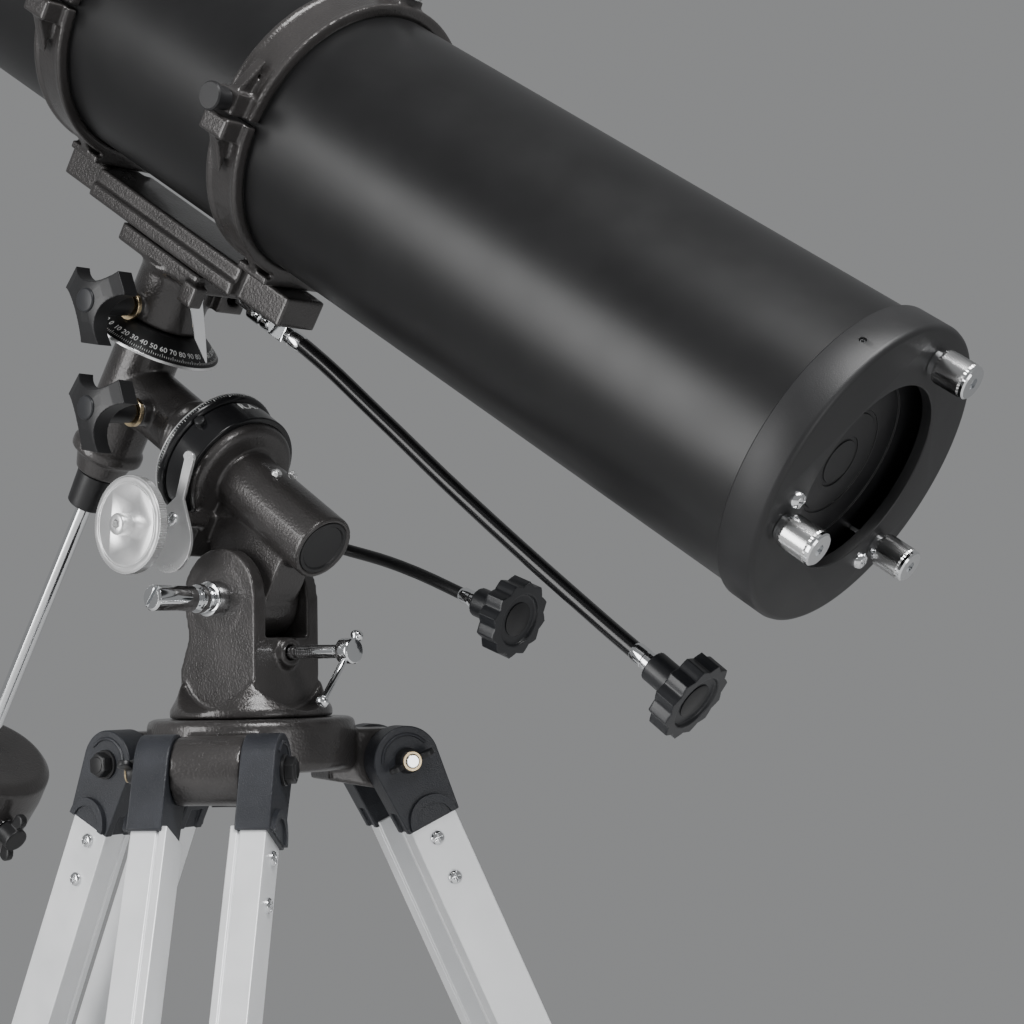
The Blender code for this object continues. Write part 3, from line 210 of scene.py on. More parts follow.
# --- shape helpers: each returns a bmesh in millimetres ---
def lathe(profile, steps=ROUND_STEPS, ring=False):
    """A closed solid turned about Z from (radius, height) points; ring joins the last point to the first."""
    mesh = bmesh.new()
    verts = [mesh.verts.new((radius, 0, height)) for radius, height in profile]
    edges = [mesh.edges.new(pair) for pair in zip(verts, verts[1:])]
    if ring:
        edges.append(mesh.edges.new((verts[-1], verts[0])))
    bmesh.ops.spin(
        mesh, geom=verts + edges, cent=(0, 0, 0), axis=(0, 0, 1), angle=math.tau, steps=steps, use_merge=True
    )
    bmesh.ops.remove_doubles(mesh, verts=mesh.verts, dist=1e-4)
    bmesh.ops.recalc_face_normals(mesh, faces=mesh.faces)
    return mesh


def rod(radius, low, high, steps=SMALL_STEPS):
    return lathe([(0, low), (radius, low), (radius, high), (0, high)], steps)


def prism(outline, low, high):
    """A closed solid with this XY outline between two heights."""
    low, high = sorted((low, high))
    mesh = bmesh.new()
    face = mesh.faces.new([mesh.verts.new((x, y, low)) for x, y in outline])
    grown = bmesh.ops.extrude_face_region(mesh, geom=[face])["geom"]
    raised = [item for item in grown if isinstance(item, bmesh.types.BMVert)]
    bmesh.ops.translate(mesh, verts=raised, vec=(0, 0, high - low))
    bmesh.ops.recalc_face_normals(mesh, faces=mesh.faces)
    return mesh


def block(low, high):
    """An axis-aligned box between any two opposite corners."""
    (west, east), (south, north), (bottom, top) = (sorted(pair) for pair in zip(low, high))
    return prism([(west, south), (east, south), (east, north), (west, north)], bottom, top)


def arc(radius, start, end, steps, centre=(0, 0)):
    """Points on a circle from one angle to another, in degrees, both ends included."""
    points = []
    for step in range(steps + 1):
        angle = math.radians(start + (end - start) * step / steps)
        points.append((centre[0] + radius * math.cos(angle), centre[1] + radius * math.sin(angle)))
    return points


def spin(axis, degrees):
    return Matrix.Rotation(math.radians(degrees), 4, axis)


def moved(mesh, matrix):
    bmesh.ops.transform(mesh, matrix=matrix, verts=mesh.verts)
    if matrix.determinant() < 0:
        bmesh.ops.reverse_faces(mesh, faces=mesh.faces)
    return mesh


def shifted(mesh, x=0.0, y=0.0, z=0.0):
    return moved(mesh, Matrix.Translation((x, y, z)))


def along(mesh, axis, at=(0, 0, 0)):
    """The mesh with its Z turned to an axis, then moved to a place."""
    turn = {
        "x": Matrix(((0, 0, 1, 0), (1, 0, 0, 0), (0, 1, 0, 0), (0, 0, 0, 1))),
        "-x": Matrix(((0, 0, -1, 0), (-1, 0, 0, 0), (0, 1, 0, 0), (0, 0, 0, 1))),
        "y": Matrix(((0, 1, 0, 0), (0, 0, 1, 0), (1, 0, 0, 0), (0, 0, 0, 1))),
        "-y": Matrix(((1, 0, 0, 0), (0, 0, -1, 0), (0, 1, 0, 0), (0, 0, 0, 1))),
        "z": Matrix.Identity(4),
        "-z": Matrix(((1, 0, 0, 0), (0, -1, 0, 0), (0, 0, -1, 0), (0, 0, 0, 1))),
    }[axis]
    return moved(mesh, Matrix.Translation(at) @ turn)


def temporary(mesh):
    data = bpy.data.meshes.new("temporary")
    mesh.to_mesh(data)
    mesh.free()
    obj = bpy.data.objects.new("temporary", data)
    bpy.context.scene.collection.objects.link(obj)
    return obj


def combined(base, tool, operation):
    """The exact Boolean of two closed meshes; both are used up."""
    first = temporary(base)
    second = temporary(tool)
    modifier = first.modifiers.new("combine", "BOOLEAN")
    modifier.operation = operation
    modifier.solver = "EXACT"
    modifier.object = second
    bpy.context.view_layer.update()
    result = bmesh.new()
    result.from_object(first, bpy.context.evaluated_depsgraph_get())
    for obj in (first, second):
        data = obj.data
        bpy.data.objects.remove(obj)
        bpy.data.meshes.remove(data)
    bmesh.ops.remove_doubles(result, verts=result.verts, dist=1e-3)
    bmesh.ops.dissolve_limit(result, angle_limit=math.radians(0.2), verts=result.verts, edges=result.edges)
    return result


def fused(base, *tools):
    for tool in tools:
        base = combined(base, tool, "UNION")
    return base


def carved(base, *tools):
    for tool in tools:
        base = combined(base, tool, "DIFFERENCE")
    return base


# --- scene helpers ---
def place(parent, at=(0, 0, 0), turn=(0, 0, 0)):
    """A frame with a place in millimetres and an XYZ turn in degrees, inside its parent's frame."""
    return parent @ Matrix.Translation(Vector(at) * MM) @ spin("Z", turn[2]) @ spin("Y", turn[1]) @ spin(
        "X", turn[0]
    )


def basis(origin, x, y, z):
    """The frame with this origin in metres and these unit axes."""
    rows = [(x[i], y[i], z[i], origin[i]) for i in range(3)]
    return Matrix(rows + [(0, 0, 0, 1)])


def joint_at(name):
    return Vector(JOINTS[name].get("pos_m", (0, 0, 0)))


def joint_axis(name):
    return Vector(JOINTS[name]["axis"]).normalized()


def surface(name, colour, roughness, metallic, grain, depth, tint=0.15, coat=0.0, smudge=0.05, cells=0.0):
    """A finish with a bump of this grain (per metre) and depth (metres), and slow tone and gloss changes."""
    material = bpy.data.materials.new(name)
    material.use_nodes = True
    nodes, links = material.node_tree.nodes, material.node_tree.links
    shader = nodes["Principled BSDF"]
    shader.inputs["Metallic"].default_value = metallic
    shader.inputs["Coat Weight"].default_value = coat
    shader.inputs["Coat Roughness"].default_value = 0.12
    coords = nodes.new("ShaderNodeTexCoord")
    fine = nodes.new("ShaderNodeTexNoise")
    fine.inputs["Scale"].default_value = grain
    fine.inputs["Detail"].default_value = 3.0
    links.new(coords.outputs["Object"], fine.inputs["Vector"])
    height = fine.outputs["Fac"]
    if cells:
        pits = nodes.new("ShaderNodeTexVoronoi")
        pits.feature = "SMOOTH_F1"
        pits.inputs["Scale"].default_value = cells
        pits.inputs["Smoothness"].default_value = 0.6
        links.new(coords.outputs["Object"], pits.inputs["Vector"])
        mixed = nodes.new("ShaderNodeMath")
        mixed.operation = "MULTIPLY_ADD"
        mixed.inputs[1].default_value = 0.7
        links.new(pits.outputs["Distance"], mixed.inputs[0])
        links.new(fine.outputs["Fac"], mixed.inputs[2])
        height = mixed.outputs[0]
    bump = nodes.new("ShaderNodeBump")
    bump.inputs["Distance"].default_value = depth
    bump.inputs["Strength"].default_value = 0.9
    links.new(height, bump.inputs["Height"])
    links.new(bump.outputs["Normal"], shader.inputs["Normal"])
    slow = nodes.new("ShaderNodeTexNoise")
    slow.inputs["Scale"].default_value = 35.0
    slow.inputs["Detail"].default_value = 4.0
    links.new(coords.outputs["Object"], slow.inputs["Vector"])
    tone = nodes.new("ShaderNodeValToRGB")
    tone.color_ramp.elements[0].position = 0.3
    tone.color_ramp.elements[1].position = 0.7
    tone.color_ramp.elements[0].color = [channel * (1 - tint) for channel in colour] + [1]
    tone.color_ramp.elements[1].color = [min(channel * (1 + tint), 1) for channel in colour] + [1]
    links.new(slow.outputs["Fac"], tone.inputs["Fac"])
    links.new(tone.outputs["Color"], shader.inputs["Base Color"])
    gloss = nodes.new("ShaderNodeMapRange")
    gloss.inputs["From Min"].default_value = 0.3
    gloss.inputs["From Max"].default_value = 0.7
    gloss.inputs["To Min"].default_value = max(roughness - smudge, 0.02)
    gloss.inputs["To Max"].default_value = roughness + smudge
    links.new(slow.outputs["Fac"], gloss.inputs["Value"])
    links.new(gloss.outputs["Result"], shader.inputs["Roughness"])
    return material


LOOKS = {
    "hammertone": surface(
        "hammertone", (0.060, 0.056, 0.055), 0.3, 0.4, 900, 0.00022, 0.15, 0.4, 0.04, 620
    ),
    "tube_black": surface("tube_black", (0.0075, 0.0075, 0.008), 0.36, 0.0, 2600, 0.00002, 0.1, 0.0, 0.02),
    "cell_black": surface("cell_black", (0.018, 0.018, 0.019), 0.44, 0.1, 1500, 0.00006, 0.15, 0.0, 0.04),
    "gloss_black": surface("gloss_black", (0.010, 0.010, 0.011), 0.2, 0.0, 120, 0.0000005, 0.1, 0.0, 0.02),
    "satin_black": surface("satin_black", (0.014, 0.014, 0.015), 0.4, 0.0, 1800, 0.00003, 0.15, 0.0, 0.05),
    "black_plastic": surface(
        "black_plastic", (0.022, 0.023, 0.026), 0.36, 0.0, 2200, 0.00003, 0.12, 0.0, 0.05
    ),
    "grained_plastic": surface(
        "grained_plastic", (0.026, 0.028, 0.034), 0.42, 0.0, 1100, 0.00016, 0.2, 0.0, 0.06, 1500
    ),
    "aluminium": surface("aluminium", (0.93, 0.94, 0.95), 0.42, 0.45, 2500, 0.000012, 0.03, 0.0, 0.04),
    "silver": surface("silver", (0.88, 0.88, 0.88), 0.3, 0.85, 3000, 0.00001, 0.04, 0.0, 0.05),
    "chrome": surface("chrome", (0.82, 0.83, 0.84), 0.08, 1.0, 600, 0.000004, 0.04, 0.0, 0.03),
    "knurl_chrome": surface("knurl_chrome", (0.72, 0.72, 0.72), 0.2, 1.0, 2200, 0.00002, 0.08, 0.0, 0.05),
    "brass": surface("brass", (0.62, 0.50, 0.32), 0.25, 1.0, 1600, 0.00001, 0.1, 0.0, 0.06),
    "white_print": surface("white_print", (0.80, 0.81, 0.80), 0.45, 0.0, 2200, 0.00001, 0.05, 0.0, 0.05),
    "dark_inside": surface("dark_inside", (0.006, 0.006, 0.006), 0.75, 0.0, 1500, 0.00005, 0.2, 0.0, 0.05),
    "mirror_glass": surface("mirror_glass", (0.75, 0.80, 0.82), 0.03, 1.0, 300, 0.000001, 0.02, 0.0, 0.01),
    "rubber": surface("rubber", (0.018, 0.018, 0.018), 0.62, 0.0, 1400, 0.00008, 0.2, 0.0, 0.06),
}


def put(name, mesh, finish, where, at=(0, 0, 0), node=None, bevel=0.0, smooth=32, cast=0.0):
    """One piece that rides on its node's body. A piece with a node's own name stands for that node."""
    if cast:
        mesh = softened(mesh, cast)
    bmesh.ops.scale(mesh, vec=(MM, MM, MM), verts=mesh.verts)
    data = bpy.data.meshes.new(name + "_look")
    mesh.to_mesh(data)
    mesh.free()
    data.materials.append(LOOKS[finish])
    obj = bpy.data.objects.new(name + "_look", data)
    bpy.context.scene.collection.objects.link(obj)
    obj.matrix_world = where @ Matrix.Translation(Vector(at) * MM)
    if bevel:
        edge = obj.modifiers.new("edges", "BEVEL")
        edge.width = bevel * MM
        edge.segments = 2
        edge.limit_method = "ANGLE"
        edge.angle_limit = math.radians(38)
        edge.harden_normals = False
    data.shade_smooth()
    if not cast:
        data.set_sharp_from_angle(angle=math.radians(smooth if not bevel else 60))
    node = node or name
    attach(obj, NODE_BODY[node])
    if name in NODE_BODY:
        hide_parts(name)
    return obj


def softened(mesh, voxel, passes=5):
    """The solid with every edge and inner corner rounded a little, as on a painted casting."""
    obj = temporary(mesh)
    remesh = obj.modifiers.new("voxels", "REMESH")
    remesh.mode = "VOXEL"
    remesh.voxel_size = voxel
    relax = obj.modifiers.new("relax", "SMOOTH")
    relax.factor = 0.5
    relax.iterations = passes
    bpy.context.view_layer.update()
    result = bmesh.new()
    result.from_object(obj, bpy.context.evaluated_depsgraph_get())
    data = obj.data
    bpy.data.objects.remove(obj)
    bpy.data.meshes.remove(data)
    for face in result.faces:
        face.smooth = True
    return result


def knurled(radius, low, high, teeth, rows, depth):
    """A round grip with a diamond knurl, closed at both ends."""
    mesh = bmesh.new()
    rings = []
    for row in range(rows + 1):
        height = low + (high - low) * row / rows
        ring = []
        for tooth in range(teeth * 2):
            raised = (row + tooth) % 2 == 0 and 0 < row < rows
            reach = radius if raised else radius - depth
            angle = math.tau * tooth / (teeth * 2)
            ring.append(mesh.verts.new((reach * math.cos(angle), reach * math.sin(angle), height)))
        rings.append(ring)
    for lower, upper in zip(rings, rings[1:]):
        for i in range(teeth * 2):
            j = (i + 1) % (teeth * 2)
            mesh.faces.new((lower[i], lower[j], upper[j], upper[i]))
    mesh.faces.new(list(reversed(rings[0])))
    mesh.faces.new(rings[-1])
    bmesh.ops.recalc_face_normals(mesh, faces=mesh.faces)
    return mesh


def joined(*meshes):
    """Several closed meshes in one, without a Boolean."""
    result = bmesh.new()
    for mesh in meshes:
        data = bpy.data.meshes.new("joined")
        mesh.to_mesh(data)
        mesh.free()
        result.from_mesh(data)
        bpy.data.meshes.remove(data)
    return result


def screw_head(radius, height):
    """A domed screw head with a cross recess, standing on Z = 0."""
    dome = lathe(
        [(0, -1), (radius, -1), (radius, height * 0.4), (radius * 0.75, height * 0.85), (0, height)],
        24
    )
    reach = radius * 0.62
    bar = block((-reach, -0.35, height * 0.35), (reach, 0.35, height + 1))
    cross = block((-0.35, -reach, height * 0.35), (0.35, reach, height + 1))
    return carved(dome, bar, cross)


def socket_head(radius, low, high):
    """A round screw end with a hexagon socket."""
    body = lathe([(0, low), (radius, low), (radius, high - 0.6), (radius - 0.6, high), (0, high)], 32)
    return carved(
        body,
        lathe([(0, high - 3), (radius * 0.55, high - 3), (radius * 0.55, high + 1), (0, high + 1)], 6)
    )


def text_mesh(words, size, depth=0.2):
    """Lettering in the XY plane, centred, with a little thickness."""
    data = bpy.data.curves.new("words", "FONT")
    data.body = words
    data.size = size
    data.align_x = "CENTER"
    data.align_y = "CENTER"
    data.extrude = depth
    data.resolution_u = 3
    obj = bpy.data.objects.new("words", data)
    bpy.context.scene.collection.objects.link(obj)
    bpy.context.view_layer.update()
    mesh = bmesh.new()
    mesh.from_mesh(obj.evaluated_get(bpy.context.evaluated_depsgraph_get()).to_mesh())
    bpy.data.objects.remove(obj)
    bpy.data.curves.remove(data)
    return mesh


def star_outline(reach, waist, tip=17.0):
    """Three broad arms with flat ends and hollow sides; the tip is half an arm end's width in degrees."""
    spread = math.radians(60 - tip)
    chord = reach * math.sin(spread)
    sag = reach * math.cos(spread) - waist
    curve = (chord**2 + sag**2) / (2 * sag)
    opening = math.degrees(math.asin(chord / curve))
    outline = []
    for turn in (60, 180, 300):
        angle = math.radians(turn)
        centre = ((waist + curve) * math.cos(angle), (waist + curve) * math.sin(angle))
        outline += arc(curve, turn + 180 + opening, turn + 180 - opening, 24, centre)
    return outline


def lobed_knob(radius, thickness, neck, neck_radius, sweep=0.0):
    """A three-armed hand knob whose stem starts at 0; its arms bend back to the stem by the sweep."""
    outline = star_outline(radius, radius * 0.43)
    count = len(outline)
    star = bmesh.new()
    sides = []
    for level in (neck, neck + thickness):
        centre = star.verts.new((0, 0, level))
        rings = []
        for share in (0.25, 0.5, 0.75, 1.0):
            drop = [sweep * share**2 * (x**2 + y**2) / radius**2 for x, y in outline]
            rings.append(
                [star.verts.new((x * share, y * share, level - z)) for (x, y), z in zip(outline, drop)]
            )
        for i in range(count):
            j = (i + 1) % count
            star.faces.new((centre, rings[0][i], rings[0][j]))
            for inner, outer in zip(rings, rings[1:]):
                star.faces.new((inner[i], outer[i], outer[j], inner[j]))
        sides.append(rings[-1])
    for i in range(count):
        j = (i + 1) % count
        star.faces.new((sides[0][i], sides[0][j], sides[1][j], sides[1][i]))
    bmesh.ops.recalc_face_normals(star, faces=star.faces)
    stem = lathe(
        [
            (0, 0), (neck_radius * 0.6, 0), (neck_radius * 0.6, 4), (neck_radius * 0.8, 4),
            (neck_radius, neck),
            (neck_radius, neck + thickness / 2), (0, neck + thickness / 2),
        ],
        SMALL_STEPS,
    )
    return fused(star, stem)


def scalloped_knob(radius, thickness, scallops=12):
    """A drive knob with a fluted rim, its hub starting at 0 and its face at the far end."""
    outline = []
    steps = scallops * 4
    for step in range(steps):
        angle = math.tau * step / steps
        reach = radius - 1.4 + 1.4 * math.cos(scallops * angle)
        outline.append((reach * math.cos(angle), reach * math.sin(angle)))
    hub_length = DRIVE_HUB
    wheel = prism(outline, hub_length, hub_length + thickness)
    hub = lathe([(0, 0), (9, 0), (9, hub_length + 1), (0, hub_length + 1)], SMALL_STEPS)
    return fused(wheel, hub)


def tube_along(points, radius, steps=12):
    """A closed round bar swept along a smooth path through a few points."""
    data = bpy.data.curves.new("path", "CURVE")
    data.dimensions = "3D"
    data.bevel_depth = radius
    data.bevel_resolution = steps // 4
    data.resolution_u = 5
    data.use_fill_caps = True
    spline = data.splines.new("BEZIER")
    spline.bezier_points.add(len(points) - 1)
    for bezier, point in zip(spline.bezier_points, points):
        bezier.co = point
        bezier.handle_left_type = "AUTO"
        bezier.handle_right_type = "AUTO"
    path = bpy.data.objects.new("path", data)
    bpy.context.scene.collection.objects.link(path)
    bpy.context.view_layer.update()
    swept = path.evaluated_get(bpy.context.evaluated_depsgraph_get()).to_mesh()
    mesh = bmesh.new()
    mesh.from_mesh(swept)
    bpy.data.objects.remove(path)
    bpy.data.curves.remove(data)
    bmesh.ops.remove_doubles(mesh, verts=mesh.verts, dist=1e-3)
    bmesh.ops.recalc_face_normals(mesh, faces=mesh.faces)
    return mesh


# --- tripod ---
def tripod_head(stand):
    body = lathe(
        [
            (0, -HEAD_THICKNESS), (HEAD_RADIUS - 5, -HEAD_THICKNESS),
            (HEAD_RADIUS - 1.5, -HEAD_THICKNESS + 1.5),
            (HEAD_RADIUS, -HEAD_THICKNESS + 5), (HEAD_RADIUS, -4), (HEAD_RADIUS - 1.2, -1.2),
            (HEAD_RADIUS - 4, 0), (0, 0),
        ]
    )
    half = LUG_WIDTH / 2
    for turn in LEG_TURNS.values():
        outline = [(-PIVOT_RADIUS * 0.5, LUG_RADIUS), (-PIVOT_RADIUS * 0.5, -LUG_RADIUS + PIVOT_DROP * 0.3)]
        outline += arc(LUG_RADIUS, -90, 90, 32)
        lug = along(prism(outline, -half, half), "x")
        lug = moved(lug, Matrix.Translation((0, PIVOT_RADIUS, -PIVOT_DROP)))
        lug = moved(lug, spin("Z", turn - 90))
        hole = along(
            rod(PIVOT_BOLT_RADIUS + 0.6, -half - 1, half + 1, TINY_STEPS), "x",
            (0, PIVOT_RADIUS, -PIVOT_DROP)
        )
        hole = moved(hole, spin("Z", turn - 90))
        body = carved(fused(body, lug), hole)
    body = carved(body, rod(HEAD_BOLT_RADIUS + 0.6, -HEAD_THICKNESS - 1, 1))
    put("tripod_head", body, "hammertone", stand, cast=1.3)


def head_bolt(stand):
    under = -HEAD_THICKNESS - GAP
    put(
        "head_bolt_shank", rod(HEAD_BOLT_RADIUS, under - 10, HEAD_BOLT_RISE), "chrome", stand,
        node="head_bolt", bevel=0.5
    )
    knob = shifted(along(winged_knob(24, 13, 8, 10, 0), "-z"), z=under)
    put("head_bolt", knob, "satin_black", stand)


def pivot_bolt(name, leg):
    """The bolt through one leg's ears, with a hexagon head on one side and a wing nut on the other."""
    face = EAR_OUTER + GAP
    node = name + "_pivot_bolt"
    shank = rod(PIVOT_BOLT_RADIUS, -face - 2, face + 10, TINY_STEPS)
    put(node + "_shank", along(shank, "x"), "chrome", leg, node=node, bevel=0.5)
    washer = lathe(
        [(0, -face - 1.6), (8.2, -face - 1.6), (8.8, -face - 1.2), (8.8, -face), (0, -face)],
        SMALL_STEPS
    )
    put(node + "_washer", along(washer, "x"), "satin_black", leg, node=node)
    head = lathe([(0, 0), (6.6, 0), (7.6, 0.7), (7.6, 5.6), (0, 5.6)], 6)
    head = fused(head, lathe([(0, -0.5), (4.6, -0.5), (5, 0), (5, 1), (0, 1)], 24))
    put(node, along(shifted(head, z=-face - 7.2), "x"), "satin_black", leg, bevel=0.5)
    nut = lathe([(0, face), (7.8, face), (7, face + 6), (6.2, face + 8), (0, face + 8)], SMALL_STEPS)
    wings = prism(wing_outline(15.0, 3.0, 12.0), -1.6, 1.6)
    wings = moved(wings, Matrix.Translation((0, 0, face)) @ spin("X", 90))
    put(node + "_wings", along(softened(fused(nut, wings), 0.5), "x"), "satin_black", leg, node=node)
    ring = lathe(
        [(4.2, face + 8.1), (5.8, face + 8.1), (5.8, face + 9.2), (4.2, face + 9.2)], SMALL_STEPS,
        ring=True
    )
    put(node + "_ring", along(ring, "x"), "brass", leg, node=node, bevel=0.2)


def leg_upper(name, leg):
    """Two grooved rails with their rounded top ears, joined by the clamp that guides the lower leg."""
    node = name + "_upper"
    dome = arc(EAR_RADIUS, 0, 180, 32)
    ear_outline = dome + [(-EAR_DEPTH / 2, -EAR_LENGTH), (EAR_DEPTH / 2, -EAR_LENGTH)]
    clamp_top = -RAIL_LENGTH
    clamp_low = clamp_top - CLAMP_LENGTH
    clamp_half = RAIL_OUTER + CLAMP_WALL
    depth_half = RAIL_DEPTH / 2 + CLAMP_WALL - 2
    passage = block(
        (-LOWER_HALF - GAP, LOWER_SHIFT - LOWER_DEPTH / 2 - GAP, clamp_low - 1),
        (LOWER_HALF + GAP, LOWER_SHIFT + LOWER_DEPTH / 2 + GAP, clamp_top + 1),
    )
    lock_hole = along(
        rod(LOCK_RADIUS + GAP, LOWER_SHIFT, depth_half + 1, TINY_STEPS), "y", (
            0, 0, clamp_top - CLAMP_LENGTH / 2
        )
    )
    clamp = carved(
        block((-clamp_half, -depth_half, clamp_low), (clamp_half, depth_half, clamp_top)), passage,
        lock_hole
    )
    for side in (-1, 1):
        groove = block(
            (side * clamp_half - 1.2, -depth_half + 5, clamp_low + 6),
            (side * clamp_half + 1.2, depth_half - 5, clamp_top - 6)
        )
        clamp = carved(clamp, groove)
    put(node, clamp, "grained_plastic", leg, bevel=1.2)
    for side in (-1, 1):
        tag = ("west", "east")[side > 0]
        inner = side * RAIL_INNER
        rail = block(
            (inner, -RAIL_DEPTH / 2, clamp_top - 2),
            (side * RAIL_OUTER, RAIL_DEPTH / 2, -EAR_LENGTH + 3)
        )
        for face in (-1, 1):
            slot_at = inner + side * 4.2
            surface_at = face * RAIL_DEPTH / 2
            near_corner = (slot_at, surface_at - face * 1.1, clamp_top - 5)
            rail = carved(rail, block(near_corner, (slot_at + side * 1.3, surface_at + face, 0)))
        put(node + "_rail_" + tag, rail, "aluminium", leg, node=node, bevel=0.8)
        ear = along(prism(ear_outline, side * EAR_INNER, side * EAR_OUTER), "x")
        ear = carved(ear, along(rod(PIVOT_BOLT_RADIUS + GAP, -60, 60, TINY_STEPS), "x"))
        pocket = (side * (EAR_INNER + 5), -EAR_DEPTH / 2 - 1, -EAR_LENGTH - 5)
        skirt = block(pocket, (side * (EAR_OUTER - 5), -EAR_DEPTH / 2 + 1.5, -25))
        put(node + "_ear_" + tag, carved(ear, skirt), "grained_plastic", leg, node=node, bevel=1.6)
        ridge_points = arc(EAR_RADIUS - 5, 20, 160, 20)
        ridge = tube_along([(side * EAR_OUTER, a, b) for a, b in ridge_points[::4]], 1.1)
        put(node + "_ridge_" + tag, ridge, "grained_plastic", leg, node=node)
        for height in (-50.0, -76.0):
            at = (side * RAIL_OUTER, -2.0, height)
            screw = along(screw_head(4.4, 2.6), "x" if side > 0 else "-x", at)
            put(node + "_screw_" + tag + str(int(-height)), screw, "chrome", leg, node=node, bevel=0.25)
        half_disc = [(a, b - EAR_LENGTH + 1) for a, b in arc(15.5, 0, 180, 32)]
        bump = along(prism(half_disc, side * (EAR_OUTER - 1), side * (EAR_OUTER + 2.6)), "x")
        hollow = [(a, b - EAR_LENGTH) for a, b in arc(11.5, 0, 180, 32)]
        bump = carved(bump, along(prism(hollow, side * (EAR_OUTER + 1.2), side * (EAR_OUTER + 4)), "x"))
        put(node + "_bump_" + tag, bump, "grained_plastic", leg, node=node, bevel=0.7)


def leg_lower(name, leg):
    """The sliding leg with a shallow groove down its face, and its soft foot, level on the floor."""
    splay = math.radians(SPLAY)
    low = LOWER_SHIFT - LOWER_DEPTH / 2
    high = LOWER_SHIFT + LOWER_DEPTH / 2

    def sole(y):
        return -(HEAD_HEIGHT - PIVOT_DROP + y * math.sin(splay)) / math.cos(splay)

    foot_top = sole(0) + FOOT_LENGTH
    bar = block((-LOWER_HALF, low, foot_top - 4), (LOWER_HALF, high, -LOWER_TOP))
    for face in (low, high):
        bar = carved(bar, block((-4, face - 1.2, foot_top - 9), (4, face + 1.2, -LOWER_TOP + 9)))
    put(name + "_lower", bar, "aluminium", leg, bevel=0.8)
    outline = [
        (low - 2, foot_top), (low - 5, sole(low - 5)), (high + 8, sole(high + 8)), (high + 2, foot_top),
    ]
    foot = along(prism(outline, -LOWER_HALF - 1.5, LOWER_HALF + 1.5), "x")
    for step in range(3):
        level = foot_top - 10 - step * 7
        rib = block((-LOWER_HALF - 3, low - 20, level - 1.2), (-LOWER_HALF - 0.6, high + 20, level + 1.2))
        other = block((LOWER_HALF + 0.6, low - 20, level - 1.2), (LOWER_HALF + 3, high + 20, level + 1.2))
        foot = carved(foot, rib, other)
    put(name + "_foot", foot, "rubber", leg, node=name + "_lower", bevel=0.7)


def leg_lock(name, leg):
    node = name + "_lock_screw"
    start = LOWER_SHIFT + LOWER_DEPTH / 2 + GAP
    face = RAIL_DEPTH / 2 + CLAMP_WALL - 2 + GAP
    at = (0, 0, -RAIL_LENGTH - CLAMP_LENGTH / 2)
    put(
        node + "_shank", along(rod(LOCK_RADIUS, start, face + 8, TINY_STEPS), "y"), "chrome", leg, at,
        node=node, bevel=0.4
    )
    hub = lathe(
        [(0, face), (7, face), (9, face + 8), (9, face + 17), (7.5, face + 18), (0, face + 18)],
        SMALL_STEPS
    )
    wings = prism(wing_outline(18.0, 4.0, 16.0), -2.6, 2.6)
    wings = moved(wings, Matrix.Translation((0, 0, face + 2)) @ spin("X", 90))
    put(node, along(softened(fused(hub, wings), 0.6), "y"), "satin_black", leg, at)


def brace_geometry():
    """Height of the hub's pivots below the head and the arm length between its two pivots."""
    splay = math.radians(SPLAY)
    reach = PIVOT_RADIUS + BRACE_AT * math.sin(splay) - BRACE_INSET * math.cos(splay)
    drop = PIVOT_DROP + BRACE_AT * math.cos(splay) + BRACE_INSET * math.sin(splay)
    length = (reach - HUB_ARM) / math.cos(math.radians(BRACE_TILT))
    return drop - length * math.sin(math.radians(BRACE_TILT)), length


def tray(stand):
    drop, _length = brace_geometry()
    hub_radius = HUB_ARM - BRACE_EYE - 2
    base = BRACE_EYE + 2
    dish = lathe(
        [
            (0, base), (TRAY_RADIUS - 3, base), (TRAY_RADIUS - 0.8, base + 0.8), (TRAY_RADIUS, base + 3),
            (TRAY_RADIUS, base + TRAY_RIM - 0.8), (TRAY_RADIUS - 0.8, base + TRAY_RIM),
            (TRAY_RADIUS - 1.8, base + TRAY_RIM), (TRAY_RADIUS - 2.5, base + TRAY_RIM - 0.8),
            (TRAY_RADIUS - 2.5, base + 3.6), (TRAY_RADIUS - 3.4, base + 3), (30, base + 3),
            (29, base + 3.8),
            (24, base + 3.8), (23, base + 3), (0, base + 3),
        ]
    )
    hub = lathe(
        [
            (0, -BRACE_EYE - 3), (hub_radius, -BRACE_EYE - 3), (hub_radius, BRACE_EYE + 3),
            (0, BRACE_EYE + 3)
        ], SMALL_STEPS
    )
    body = fused(dish, hub)
    half = BRACE_WIDTH / 2 + RUNNING
    for turn in LEG_TURNS.values():
        facing = spin("Z", turn - 90)
        for side in (-1, 1):
            far_corner = (side * (half + 3), HUB_ARM + BRACE_EYE, BRACE_EYE + 3)
            cheek = block((side * half, hub_radius - 4, -BRACE_EYE - 1), far_corner)
            body = fused(body, moved(cheek, facing))
        pin = along(rod(2, -half - 1, half + 1, TINY_STEPS), "x", (0, HUB_ARM, 0))
        body = fused(body, moved(pin, facing))
    at = (0, 0, -drop)
    put("tray", body, "black_plastic", stand, at, bevel=0.6)
    put(
        "tray_centre_screw", screw_head(7, 3), "chrome", stand, (0, 0, -drop + base + 3.8), node="tray",
        bevel=0.3
    )


